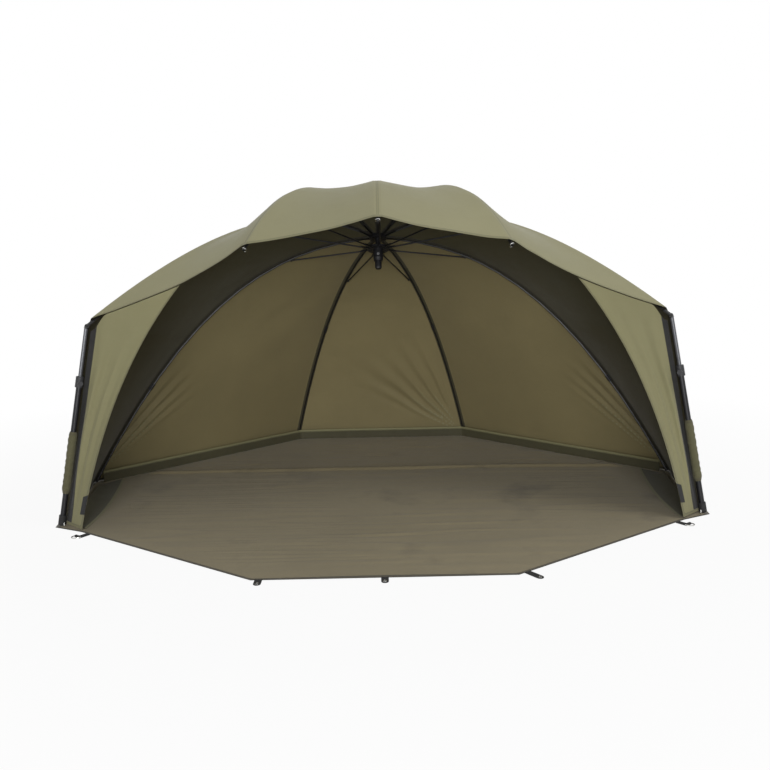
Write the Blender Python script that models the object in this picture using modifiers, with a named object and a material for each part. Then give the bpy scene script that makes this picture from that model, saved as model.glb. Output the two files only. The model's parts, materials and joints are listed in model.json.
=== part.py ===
"""A fishing umbrella: an oval, nine-rib shelter with a tilted crown, storm sides, two storm poles
and a groundsheet. Metres and degrees, +Z up. The open front faces -Y, and left and right are as
seen from there, so that left is -X. Each sub-part is one closed solid under its own name.

The crown's axis leans back. Ribs, stretchers, hub and runner are modelled about that axis, and
the poles, storm sides and groundsheet follow the places where the ribs end.
"""

import math

import bmesh
import bpy
from mathutils import Matrix, Vector

MM = 0.001

# Where the crown stands, and how far its axis leans back
CROWN_BACK = 0.308
CROWN_HEIGHT = 1.141
CROWN_TILT = math.radians(21.5)

# Where each rib ends, on the +X side: across, back, up
CENTRE_TIP_BACK = -0.459
CENTRE_TIP_UP = 1.175
PEAK_TIP_ACROSS = 0.532
PEAK_TIP_BACK = -0.373
PEAK_TIP_UP = 1.079
FRONT_TIP_ACROSS = 1.151
FRONT_TIP_BACK = -0.426
FRONT_TIP_UP = 0.796
SIDE_FOOT_ACROSS = 1.376
SIDE_FOOT_BACK = 0.175
REAR_FOOT_ACROSS = 0.496
REAR_FOOT_BACK = 1.106

# How a rib drops from hub to tip: the linear and the square share of its whole drop, the rest cubic
CENTRE_DROP_SHARES = (-1.36, 0.617)
PEAK_DROP_SHARES = (-1.30, 0.62)
FRONT_DROP_SHARES = (-0.66, 2.07)
SIDE_DROP_SHARES = (0.0, 0.56)
REAR_DROP_SHARES = (0.0, 0.75)

# Fits
TOUCH = 0.3 * MM
SLIDE_GAP = 0.4 * MM
PIN_GAP = 0.4 * MM
OVERRUN = 4 * MM
EDGE_CUT = 2 * MM

# Ribs and their fittings
RIB_R = 4.5 * MM
BLADE_HALF = 2 * MM
BLADE_DEEP = 3.5 * MM
BLADE_LONG = 75 * MM
RIB_EYE_R = 6 * MM
TUBE_OVERLAP = 12 * MM
FERRULE_R = 5.5 * MM
FERRULE_LONG = 34 * MM
JOINT_BOSS_R = 6 * MM
JOINT_BOSS_OUT = 7 * MM
TIP_CAP_R = 6.5 * MM
TIP_CAP_LONG = 26 * MM
TIP_BOSS_PROUD = 2 * MM
RIB_STATIONS = 13

# Crown hub, above and below the plane of the rib pins
RIB_PIN_RING_R = 34 * MM
PIN_R = 1.5 * MM
HUB_R = 42 * MM
HUB_UP = 9 * MM
HUB_DOWN = 7.5 * MM
HUB_FLANGE_R = 30 * MM
HUB_FLANGE_DOWN = 2.5 * MM
SLOT_FLOOR_GAP = 1 * MM
SPIGOT_R = 9.5 * MM
SPIGOT_DEEP = 4.5 * MM

# Stem below the hub
STEM_R = 12.5 * MM
STEM_SEAT = 6 * MM
RUNNER_STOP_GAP = 8 * MM
BOSS_R = 16 * MM
BOSS_LONG = 24 * MM
BOSS_NOSE_R = 12 * MM
BOSS_NOSE_LONG = 7 * MM

# Runner on the stem
RUNNER_DROP = 56 * MM
JOINT_DROP = 66 * MM
RUNNER_PIN_RING_R = 46 * MM
RUNNER_RING_R = 52 * MM
RUNNER_RING_HALF = 4.5 * MM
RUNNER_SLEEVE_R = 23.5 * MM
RUNNER_NOSE_R = 20 * MM
RUNNER_SLEEVE_LONG = 62 * MM
RUNNER_NOSE_LONG = 14 * MM
RUNNER_SLOT_FLOOR_R = 30 * MM
SHUT_GAP = 1 * MM
BUTTON_R = 6 * MM
BUTTON_DROP = 34 * MM
BUTTON_PROUD = 3 * MM
BUTTON_TRAVEL = 3 * MM
BUTTON_IN = 4 * MM
STEM_LONG = RUNNER_DROP + RUNNER_SLEEVE_LONG + RUNNER_STOP_GAP + BOSS_LONG

# Stretchers, beside the ribs
STRETCHER_R = 3.5 * MM
TONGUE_HALF = 2 * MM
TONGUE_DEEP = 3 * MM
TONGUE_LONG = 40 * MM
TONGUE_EYE_R = 5 * MM
STRETCHER_EYE_R = 6 * MM
SIDE_GAP = 0.6 * MM
FOLDED_TIP_R = 62 * MM

# Canopy
FABRIC = 1.5 * MM
SEAM_RISE = 9.5 * MM
SEAM_GAP = 0.5 * MM
CROWN_HOLE_R = 12.5 * MM
CROWN_EASE_R = 120 * MM
SEAM_STRIP = 16 * MM
TIP_BARE = 20 * MM
FRONT_TIP_BARE = 30 * MM
PANEL_SAG = 16 * MM
LOBE_SAG = 36 * MM
SIDE_SAG = 14 * MM
CROWN_CAP_R = 27 * MM
CROWN_CAP_HIGH = 9 * MM
CROWN_CAP_SHOULDER_SHARE = 0.5
CROWN_CAP_RIM_SHARE = 1 / 3

# How far down a panel's seams it lies flat, eases, is fully drawn in and turns down the pole
STRIP_SHARE = 0.13
FLAT_SHARE = 0.04
EASE_SHARE = 0.1
SAG_FULL_SHARE = 0.6
TURN_SHARE = 0.66
POLE_TOP_SHARE = 0.68
PANEL_ROWS = 9
SIDE_ROWS = 8
POLE_ROWS = 5
PANEL_COLUMNS = 4
ROOM_HIGH_SHARE = 1 / 3

# Storm poles, measured down the pole from its pivot at the front rib's tip
POLE_FOOT_ACROSS = 1.29
POLE_FOOT_BACK = -0.478
POLE_HEAD_R = 8.5 * MM
POLE_HEAD_THICK = 15 * MM
POLE_INNER_R = 8 * MM
POLE_OUTER_R = 11 * MM
POLE_INNER_LONG = 430 * MM
POLE_COLLAR_DOWN = 205 * MM
POLE_COLLAR_R = 16 * MM
POLE_COLLAR_LONG = 36 * MM
POLE_COLLAR_LIP = 8 * MM
SHOE_R = 15 * MM
SHOE_LONG = 42 * MM
SHOE_SEAT = 20 * MM
SHOE_CUT = 4 * MM
SLEEVE_R = 17 * MM
SLEEVE_DOWN = 420 * MM
SLEEVE_LONG = 250 * MM
SCREW_R = 3 * MM
SCREW_KNOB_R = 11 * MM
SCREW_KNOB_LONG = 12 * MM
SCREW_NECK = 5 * MM
SCREW_LOBES = 6
SCREW_LOBE_SHARE = 0.2
SCREW_POINTS = 4
SLEEVE_GATHERS = 8
SLEEVE_GATHER_DEEP = 1 * MM

# Storm sides: fabric wings between pole, eave and the groundsheet's front corners
WING_EAVE_SHARE = 0.45
WING_CORNER_ACROSS = 1.182
WING_CORNER_BACK = -0.55
WING_EDGE_PULL = 0.115
WING_UNDER_EAVE = 9 * MM
WING_HEM_UP = 5 * MM
WING_FOLD = 7 * MM
WING_FOLDS = 3
WING_EDGE_BEND_SHARE = 0.45
WING_EDGE_LIFT_SHARE = 0.5
WING_ROWS = 10
WING_COLUMNS = 12

# Groundsheet and the low wall round its back
SHEET = 2 * MM
SHEET_FRONT_ACROSS = 0.44
SHEET_FRONT_BACK = -1.0857
SHEET_MARGIN = 26 * MM
WALL_HIGH = 55 * MM
WALL_THICK = 2.5 * MM
WALL_INSET = 34 * MM
WALL_SLANT_SHARE = 1.3
TAB_WIDE = 25 * MM
TAB_LONG = 46 * MM
TAB_THICK = 3 * MM
STRAP_LONG = 70 * MM
RING_WIRE_R = 2.2 * MM
RING_WIDE = 32 * MM
RING_DEEP = 24 * MM
TIP_RING_WIRE_R = 1.6 * MM
PEG_HOLE_R = 4 * MM
RING_TAB_SHARE = 0.95
PEG_TAB_SHARE = 0.03
STRAP_SHARE = 0.04

PARTS = "fishing_umbrella"
CUTTERS = "cutters"


def clear_scene():
    for obj in list(bpy.data.objects):
        bpy.data.objects.remove(obj, do_unlink=True)
    for name in (PARTS, CUTTERS):
        bpy.context.scene.collection.children.link(bpy.data.collections.new(name))


def finish(name, colour, roughness, metallic=0.0):
    """One Principled material for one sub-part."""
    made = bpy.data.materials.new(name)
    made.use_nodes = True
    shader = made.node_tree.nodes["Principled BSDF"]
    shader.inputs["Base Color"].default_value = (*colour, 1)
    shader.inputs["Roughness"].default_value = roughness
    shader.inputs["Metallic"].default_value = metallic
    return made


OLIVE = (0.24, 0.23, 0.13)
DARK_OLIVE = (0.10, 0.09, 0.055)
FLOOR_OLIVE = (0.14, 0.12, 0.085)
BLACK = (0.02, 0.02, 0.02)
GREY = (0.16, 0.16, 0.16)
STEEL = (0.6, 0.6, 0.6)


def add(obj, look, parent=None, collection=PARTS):
    """Puts an object in its collection, dressed and placed under its parent."""
    for other in list(obj.users_collection):
        other.objects.unlink(obj)
    bpy.data.collections[collection].objects.link(obj)
    obj.parent = parent
    if look:
        colour, roughness, metallic = look
        obj.data.materials.clear()
        obj.data.materials.append(finish(obj.name, colour, roughness, metallic))
    return obj


def helper(obj):
    """Marks an object as a cutter or a piece that a Boolean joins to another."""
    add(obj, None, obj.parent, CUTTERS)
    obj.hide_render = True
    obj.display_type = "WIRE"
    return obj


def empty(name, matrix, parent=None):
    obj = bpy.data.objects.new(name, None)
    bpy.data.collections[PARTS].objects.link(obj)
    obj.parent = parent
    obj.matrix_local = matrix
    bpy.context.view_layer.update()
    return obj


def boolean(obj, other, operation):
    modifier = obj.modifiers.new(operation.lower(), "BOOLEAN")
    modifier.operation = operation
    modifier.object = other


def smooth(obj, angle=math.radians(35)):
    obj.data.shade_smooth()
    obj.data.set_sharp_from_angle(angle=angle)


def mesh_object(name, shape):
    data = bpy.data.meshes.new(name)
    shape.to_mesh(data)
    shape.free()
    obj = bpy.data.objects.new(name, data)
    bpy.context.scene.collection.objects.link(obj)
    return obj


def mesh_from_curve(obj):
    """The curve's own solid as a mesh object of the same name, with its caps welded."""
    bpy.context.view_layer.update()
    evaluated = obj.evaluated_get(bpy.context.evaluated_depsgraph_get())
    data = bpy.data.meshes.new_from_object(evaluated)
    shape = bmesh.new()
    shape.from_mesh(data)
    bmesh.ops.remove_doubles(shape, verts=shape.verts, dist=0.01 * MM)
    bmesh.ops.recalc_face_normals(shape, faces=shape.faces)
    shape.to_mesh(data)
    shape.free()
    name, matrix = obj.name, obj.matrix_world.copy()
    bpy.data.objects.remove(obj, do_unlink=True)
    made = bpy.data.objects.new(name, data)
    bpy.context.scene.collection.objects.link(made)
    made.matrix_world = matrix
    return made


def tube(name, points, radius, radii=None, resolution=1):
    """A round rod along the points, with filled ends and, where given, a radius for each point."""
    data = bpy.data.curves.new(name, "CURVE")
    data.dimensions = "3D"
    data.bevel_depth = radius
    data.bevel_resolution = resolution
    data.use_fill_caps = True
    spline = data.splines.new("POLY")
    spline.points.add(len(points) - 1)
    for i, (point, place) in enumerate(zip(spline.points, points)):
        point.co = (*place, 1)
        point.radius = radii[i] / radius if radii else 1
    obj = bpy.data.objects.new(name, data)
    bpy.context.scene.collection.objects.link(obj)
    return obj


def rod(name, points, radius, radii=None, resolution=1):
    """A tube as a welded mesh, ready for Booleans."""
    return mesh_from_curve(tube(name, points, radius, radii, resolution))


def circle_points(centre, radius, sides, start=0.0, turn=math.tau):
    steps = sides if turn >= math.tau else sides + 1
    return [
        (
            centre[0] + radius * math.cos(start + turn * i / sides),
            centre[1] + radius * math.sin(start + turn * i / sides),
        )
        for i in range(steps)
    ]


def plate(name, outlines, thickness, offset=0.0):
    """A flat plate in its X-Z plane, centred on Y at offset: the first outline less the others."""
    data = bpy.data.curves.new(name, "CURVE")
    data.dimensions = "2D"
    data.fill_mode = "BOTH"
    data.extrude = thickness / 2
    for outline in outlines:
        spline = data.splines.new("POLY")
        spline.points.add(len(outline) - 1)
        spline.use_cyclic_u = True
        for point, (across, up) in zip(spline.points, outline):
            point.co = (across, up, 0, 1)
    obj = bpy.data.objects.new(name, data)
    bpy.context.scene.collection.objects.link(obj)
    obj.matrix_world = Matrix.Translation((0, offset, 0)) @ Matrix.Rotation(math.pi / 2, 4, "X")
    made = mesh_from_curve(obj)
    made.data.transform(made.matrix_world)
    made.matrix_world = Matrix()
    return made


def turned(name, profile, sides=32):
    """A turned piece on Z: the profile runs down its outer side, from top to bottom."""
    shape = bmesh.new()
    points = [shape.verts.new((radius, 0, height)) for radius, height in profile]
    closed_loop = all(radius > 0 for radius, _ in profile)
    ends = list(zip(points, points[1:]))
    if closed_loop:
        ends.append((points[-1], points[0]))
    for pair in ends:
        shape.edges.new(pair)
    obj = mesh_object(name, shape)
    screw = obj.modifiers.new("turn", "SCREW")
    screw.axis = "Z"
    screw.steps = sides
    screw.render_steps = sides
    screw.use_merge_vertices = True
    screw.merge_threshold = 0.01 * MM
    screw.use_normal_calculate = False
    return obj


def box(shape, low, high, matrix=None):
    """Adds one box to a bmesh, from its low corner to its high corner."""
    middle = [(a + b) / 2 for a, b in zip(low, high)]
    size = [b - a for a, b in zip(low, high)]
    place = Matrix.Translation(middle) @ Matrix.Diagonal((*size, 1))
    bmesh.ops.create_cube(shape, size=1, matrix=(matrix or Matrix()) @ place)


def cylinder(shape, start, end, radius, sides=12, matrix=None):
    """Adds one cylinder to a bmesh, from start to end."""
    start, end = Vector(start), Vector(end)
    turn = (end - start).to_track_quat("Z", "Y").to_matrix().to_4x4()
    place = Matrix.Translation((start + end) / 2) @ turn
    bmesh.ops.create_cone(
        shape,
        cap_ends=True,
        segments=sides,
        radius1=radius,
        radius2=radius,
        depth=(end - start).length,
        matrix=(matrix or Matrix()) @ place,
    )


CROWN = Matrix.Translation((0, CROWN_BACK, CROWN_HEIGHT)) @ Matrix.Rotation(-CROWN_TILT, 4, "X")
CENTRE_OF_ROOM = Vector((0, CROWN_BACK, CROWN_HEIGHT * ROOM_HIGH_SHARE))


class Rib:
    """One rib: a curve in the plane that holds the crown's axis and the rib's own end.

    Along its plane a point has a reach from the rib's pin and a drop below the ring of pins.
    side is +1 or -1, and out is the direction across the plane in which its stretcher lies.
    """

    def __init__(self, name, tip, shares, side=1):
        self.name = name
        self.side = side
        across, back, up = tip
        self.tip = Vector((side * across, back, up))
        end = CROWN.inverted() @ self.tip
        self.azimuth = math.atan2(end.x, -end.y)
        self.reach = math.hypot(end.x, end.y) - RIB_PIN_RING_R
        self.drop = -end.z
        end_slope_share = 3 - 2 * shares[0] - shares[1]
        end_slope = self.drop * end_slope_share / self.reach
        bare = {"front": FRONT_TIP_BARE, "centre": TIP_BARE, "peak": TIP_BARE}
        self.bare = bare.get(name.split("_")[0], 0) / math.hypot(1, end_slope)
        linear, square = shares
        self.shares = (linear, square, 1 - linear - square)

    def drop_at(self, along):
        linear, square, cubic = self.shares
        return self.drop * (linear * along + square * along**2 + cubic * along**3)

    def slope_at(self, along):
        linear, square, cubic = self.shares
        rise = linear + 2 * square * along + 3 * cubic * along**2
        return self.drop * rise / self.reach

    def plane_point(self, along, lift=0.0):
        """(reach, height) in the rib's plane, lifted square to the rib."""
        if along <= 0:
            return along * self.reach, lift
        slope = self.slope_at(along)
        size = math.hypot(1, slope)
        return (
            along * self.reach + lift * slope / size,
            -self.drop_at(along) + lift / size,
        )

    def frame(self):
        """From the rib's own frame (out along X, across on Y, up on Z) to the crown's."""
        turn = Matrix.Rotation(self.azimuth - math.pi / 2, 4, "Z")
        return turn @ Matrix.Translation((RIB_PIN_RING_R, 0, 0))

    def place(self, along, lift=0.0, across=0.0):
        """World point on the rib, lifted off it, and moved across its plane."""
        reach, height = self.plane_point(along, lift)
        return CROWN @ self.frame() @ Vector((reach, self.side * across, height))

    def joint_share(self):
        """Where the stretcher meets the rib: the outermost share at which it has dropped enough."""
        low, high = 0.0, 1.0
        for _ in range(40):
            middle = (low + high) / 2
            if self.drop_at(middle) < JOINT_DROP:
                low = middle
            else:
                high = middle
        return high

    def joint(self):
        share = self.joint_share()
        return Vector((share * self.reach, 0, -self.drop_at(share)))

    def folded_turn(self):
        """How far the rib swings down until its end lies near the crown's axis."""
        long = math.hypot(self.reach, self.drop)
        shut = math.acos((FOLDED_TIP_R - RIB_PIN_RING_R) / long)
        return shut - math.atan2(self.drop, self.reach)


def both(name, tip, shares, make=Rib):
    return [make(name + "_left", tip, shares, -1), make(name + "_right", tip, shares, 1)]


def standing(name, foot, shares, side):
    """A rib that runs down to the groundsheet, with the rim of its tip cap resting there."""
    floor = SHEET + TOUCH
    rib = Rib(name, (*foot, floor + TIP_CAP_R), shares, side)
    run = rib.place(1) - rib.place(1 - TIP_CAP_LONG / rib.reach)
    level_share = math.hypot(run.x, run.y) / run.length
    return Rib(name, (*foot, floor + TIP_CAP_R * level_share), shares, side)


RIBS = {
    rib.name: rib
    for rib in [
        Rib("centre", (0, CENTRE_TIP_BACK, CENTRE_TIP_UP), CENTRE_DROP_SHARES),
        *both("peak", (PEAK_TIP_ACROSS, PEAK_TIP_BACK, PEAK_TIP_UP), PEAK_DROP_SHARES),
        *both("front", (FRONT_TIP_ACROSS, FRONT_TIP_BACK, FRONT_TIP_UP), FRONT_DROP_SHARES),
        *both("side", (SIDE_FOOT_ACROSS, SIDE_FOOT_BACK), SIDE_DROP_SHARES, standing),
        *both("rear", (REAR_FOOT_ACROSS, REAR_FOOT_BACK), REAR_DROP_SHARES, standing),
    ]
}

TIP_BOSS_OUT = TIP_CAP_R + TIP_BOSS_PROUD
POLE_PIVOT_OUT = TIP_BOSS_OUT + TOUCH + POLE_HEAD_THICK / 2
TONGUE_ACROSS = BLADE_HALF + SIDE_GAP + TONGUE_HALF
ROD_ACROSS = RIB_R + SIDE_GAP + STRETCHER_R
EYE_ACROSS = JOINT_BOSS_OUT + 2 * TOUCH + STRETCHER_R
RUNNER_SHUT_DROP = HUB_DOWN + SHUT_GAP + RUNNER_RING_HALF
RUNNER_TRAVEL = RUNNER_DROP - RUNNER_SHUT_DROP


def crown_axis():
    return empty("crown_axis", CROWN)


def rib_solid(rib, crown):
    """Tube, flat root blade with its eye, joint boss and tip cap, as one solid on its pin."""
    pivot = empty("rib_pin_" + rib.name, rib.frame(), crown)
    blade_share = BLADE_LONG / rib.reach
    joint = rib.joint()
    joint_share = rib.joint_share()
    ferrule_share = FERRULE_LONG / 2 / rib.reach
    step = OVERRUN / rib.reach
    cap_share = 1 - TIP_CAP_LONG / math.hypot(rib.reach, rib.drop)
    start = (BLADE_LONG - TUBE_OVERLAP) / rib.reach
    stations = [(start + (1 - start) * i / RIB_STATIONS, RIB_R) for i in range(RIB_STATIONS)]
    near = joint_share - ferrule_share
    far = joint_share + ferrule_share
    stations = [s for s in stations if not near - step < s[0] < far + step and s[0] < cap_share]
    stations += [(near - step, RIB_R), (near, FERRULE_R), (far, FERRULE_R), (far + step, RIB_R)]
    if far + 2 * step < cap_share:
        stations += [(cap_share - step, RIB_R)]
    stations += [(max(cap_share, far + 2 * step), TIP_CAP_R), (1.0, TIP_CAP_R)]
    stations.sort()
    points = [rib.plane_point(share) for share, _ in stations]
    body = rod(
        "rib_" + rib.name,
        [(reach, 0, height) for reach, height in points],
        RIB_R,
        [radius for _, radius in stations],
    )
    edge_shares = [blade_share * i / 3 for i in range(1, 4)]
    above = [rib.plane_point(share, BLADE_DEEP) for share in edge_shares]
    below = [rib.plane_point(share, -BLADE_DEEP) for share in edge_shares]
    tangent = math.atan(-rib.slope_at(0))
    eye = circle_points((0, 0), RIB_EYE_R, 10, tangent + math.pi / 4, 1.5 * math.pi)
    hole = circle_points((0, 0), PIN_R + PIN_GAP, 10)
    root = plate("root_" + rib.name, [[*eye, *below, *reversed(above)], hole], 2 * BLADE_HALF)
    shape = bmesh.new()
    across = rib.side * JOINT_BOSS_OUT
    cylinder(shape, joint, joint + Vector((0, across, 0)), JOINT_BOSS_R)
    if rib.name.startswith("front"):
        end = Vector((rib.plane_point(1)[0], 0, rib.plane_point(1)[1]))
        cylinder(shape, end, end + Vector((0, rib.side * TIP_BOSS_OUT, 0)), POLE_HEAD_R)
    boss = mesh_object("boss_" + rib.name, shape)
    for piece in (root, boss):
        helper(piece)
        piece.parent = pivot
        boolean(body, piece, "UNION")
    add(body, (BLACK, 0.4, 0.0), pivot)
    smooth(body)


def stretcher_solid(rib, crown):
    """A rod beside its rib, from a flat tongue on the runner's pin to an eye beside the rib."""
    turn = Matrix.Rotation(rib.azimuth - math.pi / 2, 4, "Z")
    lift = Matrix.Translation((RUNNER_PIN_RING_R, 0, -RUNNER_DROP))
    pivot = empty("stretcher_pin_" + rib.name, turn @ lift, crown)
    joint = stretcher_end(rib)
    long = joint.length
    slope = math.atan2(joint.z, joint.x)
    root_across = rib.side * TONGUE_ACROSS
    end_across = rib.side * EYE_ACROSS
    start = (TONGUE_LONG - TUBE_OVERLAP, rib.side * ROD_ACROSS, 0)
    body = rod("stretcher_" + rib.name, [start, (long, end_across, 0)], STRETCHER_R)
    body.data.transform(Matrix.Rotation(-slope, 4, "Y"))
    eye = circle_points((0, 0), TONGUE_EYE_R, 10, math.pi / 4, 1.5 * math.pi)
    tongue_outline = [*eye, (TONGUE_LONG, -TONGUE_DEEP), (TONGUE_LONG, TONGUE_DEEP)]
    hole = circle_points((0, 0), PIN_R + PIN_GAP, 10)
    root = plate("tongue_" + rib.name, [tongue_outline, hole], 2 * TONGUE_HALF, root_across)
    root.data.transform(Matrix.Rotation(-slope, 4, "Y"))
    shape = bmesh.new()
    half = Vector((0, STRETCHER_R, 0))
    centre = Vector((joint.x, end_across, joint.z))
    cylinder(shape, centre - half, centre + half, STRETCHER_EYE_R, 14)
    outer = mesh_object("outer_eye_" + rib.name, shape)
    for piece in (root, outer):
        helper(piece)
        piece.parent = pivot
        boolean(body, piece, "UNION")
    add(body, (BLACK, 0.35, 0.3), pivot)
    smooth(body)


def stretcher_end(rib):
    """The rib's joint as the stretcher's pin on the runner sees it."""
    joint = rib.joint()
    reach = joint.x + RIB_PIN_RING_R - RUNNER_PIN_RING_R
    return Vector((reach, 0, joint.z + RUNNER_DROP))


def stretcher_fold(rib):
    """How far the stretcher swings on the runner as its rib folds."""
    end = stretcher_end(rib)
    joint = rib.joint()
    angle = rib.folded_turn()
    turned_joint = Matrix.Rotation(angle, 3, "Y") @ joint
    reach = turned_joint.x + RIB_PIN_RING_R - RUNNER_PIN_RING_R
    folded = math.atan2(-(turned_joint.z + RUNNER_SHUT_DROP), reach)
    return folded - math.atan2(-end.z, end.x)


def crown_hub(crown):
    """The slotted disc that the ribs hang in, with a pin across each slot."""
    hub = turned(
        "crown_hub",
        [
            (SPIGOT_R + TOUCH, HUB_UP),
            (HUB_FLANGE_R, HUB_UP),
            (HUB_R, HUB_UP - EDGE_CUT),
            (HUB_R, -HUB_DOWN + HUB_FLANGE_DOWN),
            (HUB_FLANGE_R, -HUB_DOWN),
            (STEM_R + TOUCH, -HUB_DOWN),
            (STEM_R + TOUCH, -HUB_DOWN + STEM_SEAT),
            (SPIGOT_R + TOUCH, -HUB_DOWN + STEM_SEAT),
        ],
        36,
    )
    slots, pins = bmesh.new(), bmesh.new()
    half = BLADE_HALF + SIDE_GAP
    for rib in RIBS.values():
        turn = Matrix.Rotation(rib.azimuth - math.pi / 2, 4, "Z")
        floor = RIB_PIN_RING_R - RIB_EYE_R - SLOT_FLOOR_GAP
        low = (floor, -half, -HUB_DOWN - OVERRUN)
        box(slots, low, (HUB_R + OVERRUN, half, HUB_UP + OVERRUN), turn)
        pin_half = half + BLADE_HALF
        start = (RIB_PIN_RING_R, -pin_half, 0)
        cylinder(pins, start, (RIB_PIN_RING_R, pin_half, 0), PIN_R, 10, turn)
    for shape, name, operation in ((slots, "hub_slots", "DIFFERENCE"), (pins, "hub_pins", "UNION")):
        piece = helper(mesh_object(name, shape))
        piece.parent = crown
        boolean(hub, piece, operation)
    add(hub, (BLACK, 0.45, 0.0), crown)
    smooth(hub)


def runner(crown):
    """The sliding collar: slotted ring, sleeve and a pocket for the release button."""
    pivot = empty("runner_axis", Matrix.Translation((0, 0, -RUNNER_DROP)), crown)
    bore = STEM_R + SLIDE_GAP
    nose = -RUNNER_SLEEVE_LONG
    body = turned(
        "runner",
        [
            (bore, RUNNER_RING_HALF),
            (RUNNER_RING_R, RUNNER_RING_HALF),
            (RUNNER_RING_R, -RUNNER_RING_HALF),
            (RUNNER_SLEEVE_R, -RUNNER_RING_HALF),
            (RUNNER_SLEEVE_R, nose + RUNNER_NOSE_LONG),
            (RUNNER_NOSE_R, nose),
            (bore, nose),
        ],
        36,
    )
    slots, pins = bmesh.new(), bmesh.new()
    inner = BLADE_HALF + SIDE_GAP
    outer = TONGUE_ACROSS + TONGUE_HALF + SLIDE_GAP
    for rib in RIBS.values():
        turn = Matrix.Rotation(rib.azimuth - math.pi / 2, 4, "Z")
        if rib.side < 0:
            turn = turn @ Matrix.Rotation(math.pi, 4, "X")
        low = (RUNNER_SLOT_FLOOR_R, -inner, -RUNNER_RING_HALF - OVERRUN)
        box(slots, low, (RUNNER_RING_R + OVERRUN, outer, RUNNER_RING_HALF + OVERRUN), turn)
        start = (RUNNER_PIN_RING_R, TONGUE_ACROSS - TONGUE_HALF, 0)
        cylinder(pins, start, (RUNNER_PIN_RING_R, outer + OVERRUN, 0), PIN_R, 10, turn)
    pocket = bmesh.new()
    floor = RUNNER_SLEEVE_R - BUTTON_IN - BUTTON_TRAVEL - TOUCH
    start = (0, -floor, -BUTTON_DROP)
    end = (0, -RUNNER_SLEEVE_R - OVERRUN, -BUTTON_DROP)
    cylinder(pocket, start, end, BUTTON_R + SLIDE_GAP, 16)
    for shape, name, operation in (
        (slots, "runner_slots", "DIFFERENCE"),
        (pins, "runner_pins", "UNION"),
        (pocket, "button_pocket", "DIFFERENCE"),
    ):
        piece = helper(mesh_object(name, shape))
        piece.parent = pivot
        boolean(body, piece, operation)
    add(body, (BLACK, 0.45, 0.0), pivot)
    smooth(body)
    shape = bmesh.new()
    start = (0, -RUNNER_SLEEVE_R + BUTTON_IN, -BUTTON_DROP)
    cylinder(shape, start, (0, -RUNNER_SLEEVE_R - BUTTON_PROUD, -BUTTON_DROP), BUTTON_R, 16)
    button = add(mesh_object("release_button", shape), (GREY, 0.4, 0.0), pivot)
    smooth(button)


def stem(crown):
    """The short tube under the hub, and the boss on its end."""
    top = -HUB_DOWN + STEM_SEAT - TOUCH
    post = turned("stem", [(0, top), (STEM_R, top), (STEM_R, -STEM_LONG), (0, -STEM_LONG)], 24)
    add(post, (GREY, 0.35, 0.8), crown)
    smooth(post)
    bore = STEM_R + TOUCH
    floor = -STEM_LONG - TOUCH
    shoulder = -STEM_LONG + BOSS_LONG
    nose = floor - BOSS_NOSE_LONG
    profile = [
        (0, floor),
        (bore, floor),
        (bore, shoulder),
        (BOSS_R, shoulder),
        (BOSS_R, floor),
        (BOSS_NOSE_R, nose),
        (0, nose),
    ]
    end = turned("stem_boss", profile, 24)
    add(end, (BLACK, 0.5, 0.0), crown)
    smooth(end)


def crown_cap(crown):
    """The cap that clamps the canopy's centre onto the hub."""
    seat = HUB_UP + TOUCH + FABRIC + TOUCH
    spigot_end = HUB_UP - SPIGOT_DEEP
    cap = turned(
        "crown_cap",
        [
            (0, seat + CROWN_CAP_HIGH),
            (CROWN_CAP_R * CROWN_CAP_SHOULDER_SHARE, seat + CROWN_CAP_HIGH - FABRIC),
            (CROWN_CAP_R, seat + CROWN_CAP_HIGH * CROWN_CAP_RIM_SHARE),
            (CROWN_CAP_R, seat),
            (SPIGOT_R, seat),
            (SPIGOT_R, spigot_end),
            (0, spigot_end),
        ],
        28,
    )
    add(cap, (BLACK, 0.45, 0.0), crown)
    smooth(cap)


def ease(low, high, value):
    share = min(max((value - low) / (high - low), 0), 1)
    return share * share * (3 - 2 * share)


def seam(rib, along, across):
    """A point of the canopy's inner face over a rib, from the crown's hole at 0 to the hem at 1."""
    if along < FLAT_SHARE:
        radius = CROWN_HOLE_R + (RIB_PIN_RING_R - CROWN_HOLE_R) * along / FLAT_SHARE
    elif along < EASE_SHARE:
        part = (along - FLAT_SHARE) / (EASE_SHARE - FLAT_SHARE)
        radius = RIB_PIN_RING_R + (CROWN_EASE_R - RIB_PIN_RING_R) * part
    else:
        part = (along - EASE_SHARE) / (1 - EASE_SHARE)
        hem_r = RIB_PIN_RING_R + rib.reach - rib.bare
        radius = CROWN_EASE_R + (hem_r - CROWN_EASE_R) * part
    share = (radius - RIB_PIN_RING_R) / rib.reach
    crown_rise = HUB_UP + TOUCH
    rise = crown_rise + (SEAM_RISE - crown_rise) * ease(RIB_PIN_RING_R, CROWN_EASE_R, radius)
    return rib.place(share, rise, math.copysign(min(abs(across), radius * STRIP_SHARE), across))


def pole_frame(rib):
    """(pivot, direction down the pole) in the world."""
    pivot = rib.place(1, 0, POLE_PIVOT_OUT)
    foot = Vector((rib.side * POLE_FOOT_ACROSS, POLE_FOOT_BACK, SHEET + TOUCH))
    return pivot, (foot - pivot).normalized(), (foot - pivot).length


def pole_edge(rib, share, outward, ahead=0.0):
    """A point beside the pole, outward from it, at a share of its length."""
    pivot, down, long = pole_frame(rib)
    place = pivot + down * (share * long)
    return place + Vector((rib.side * outward, -ahead, 0))


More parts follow.
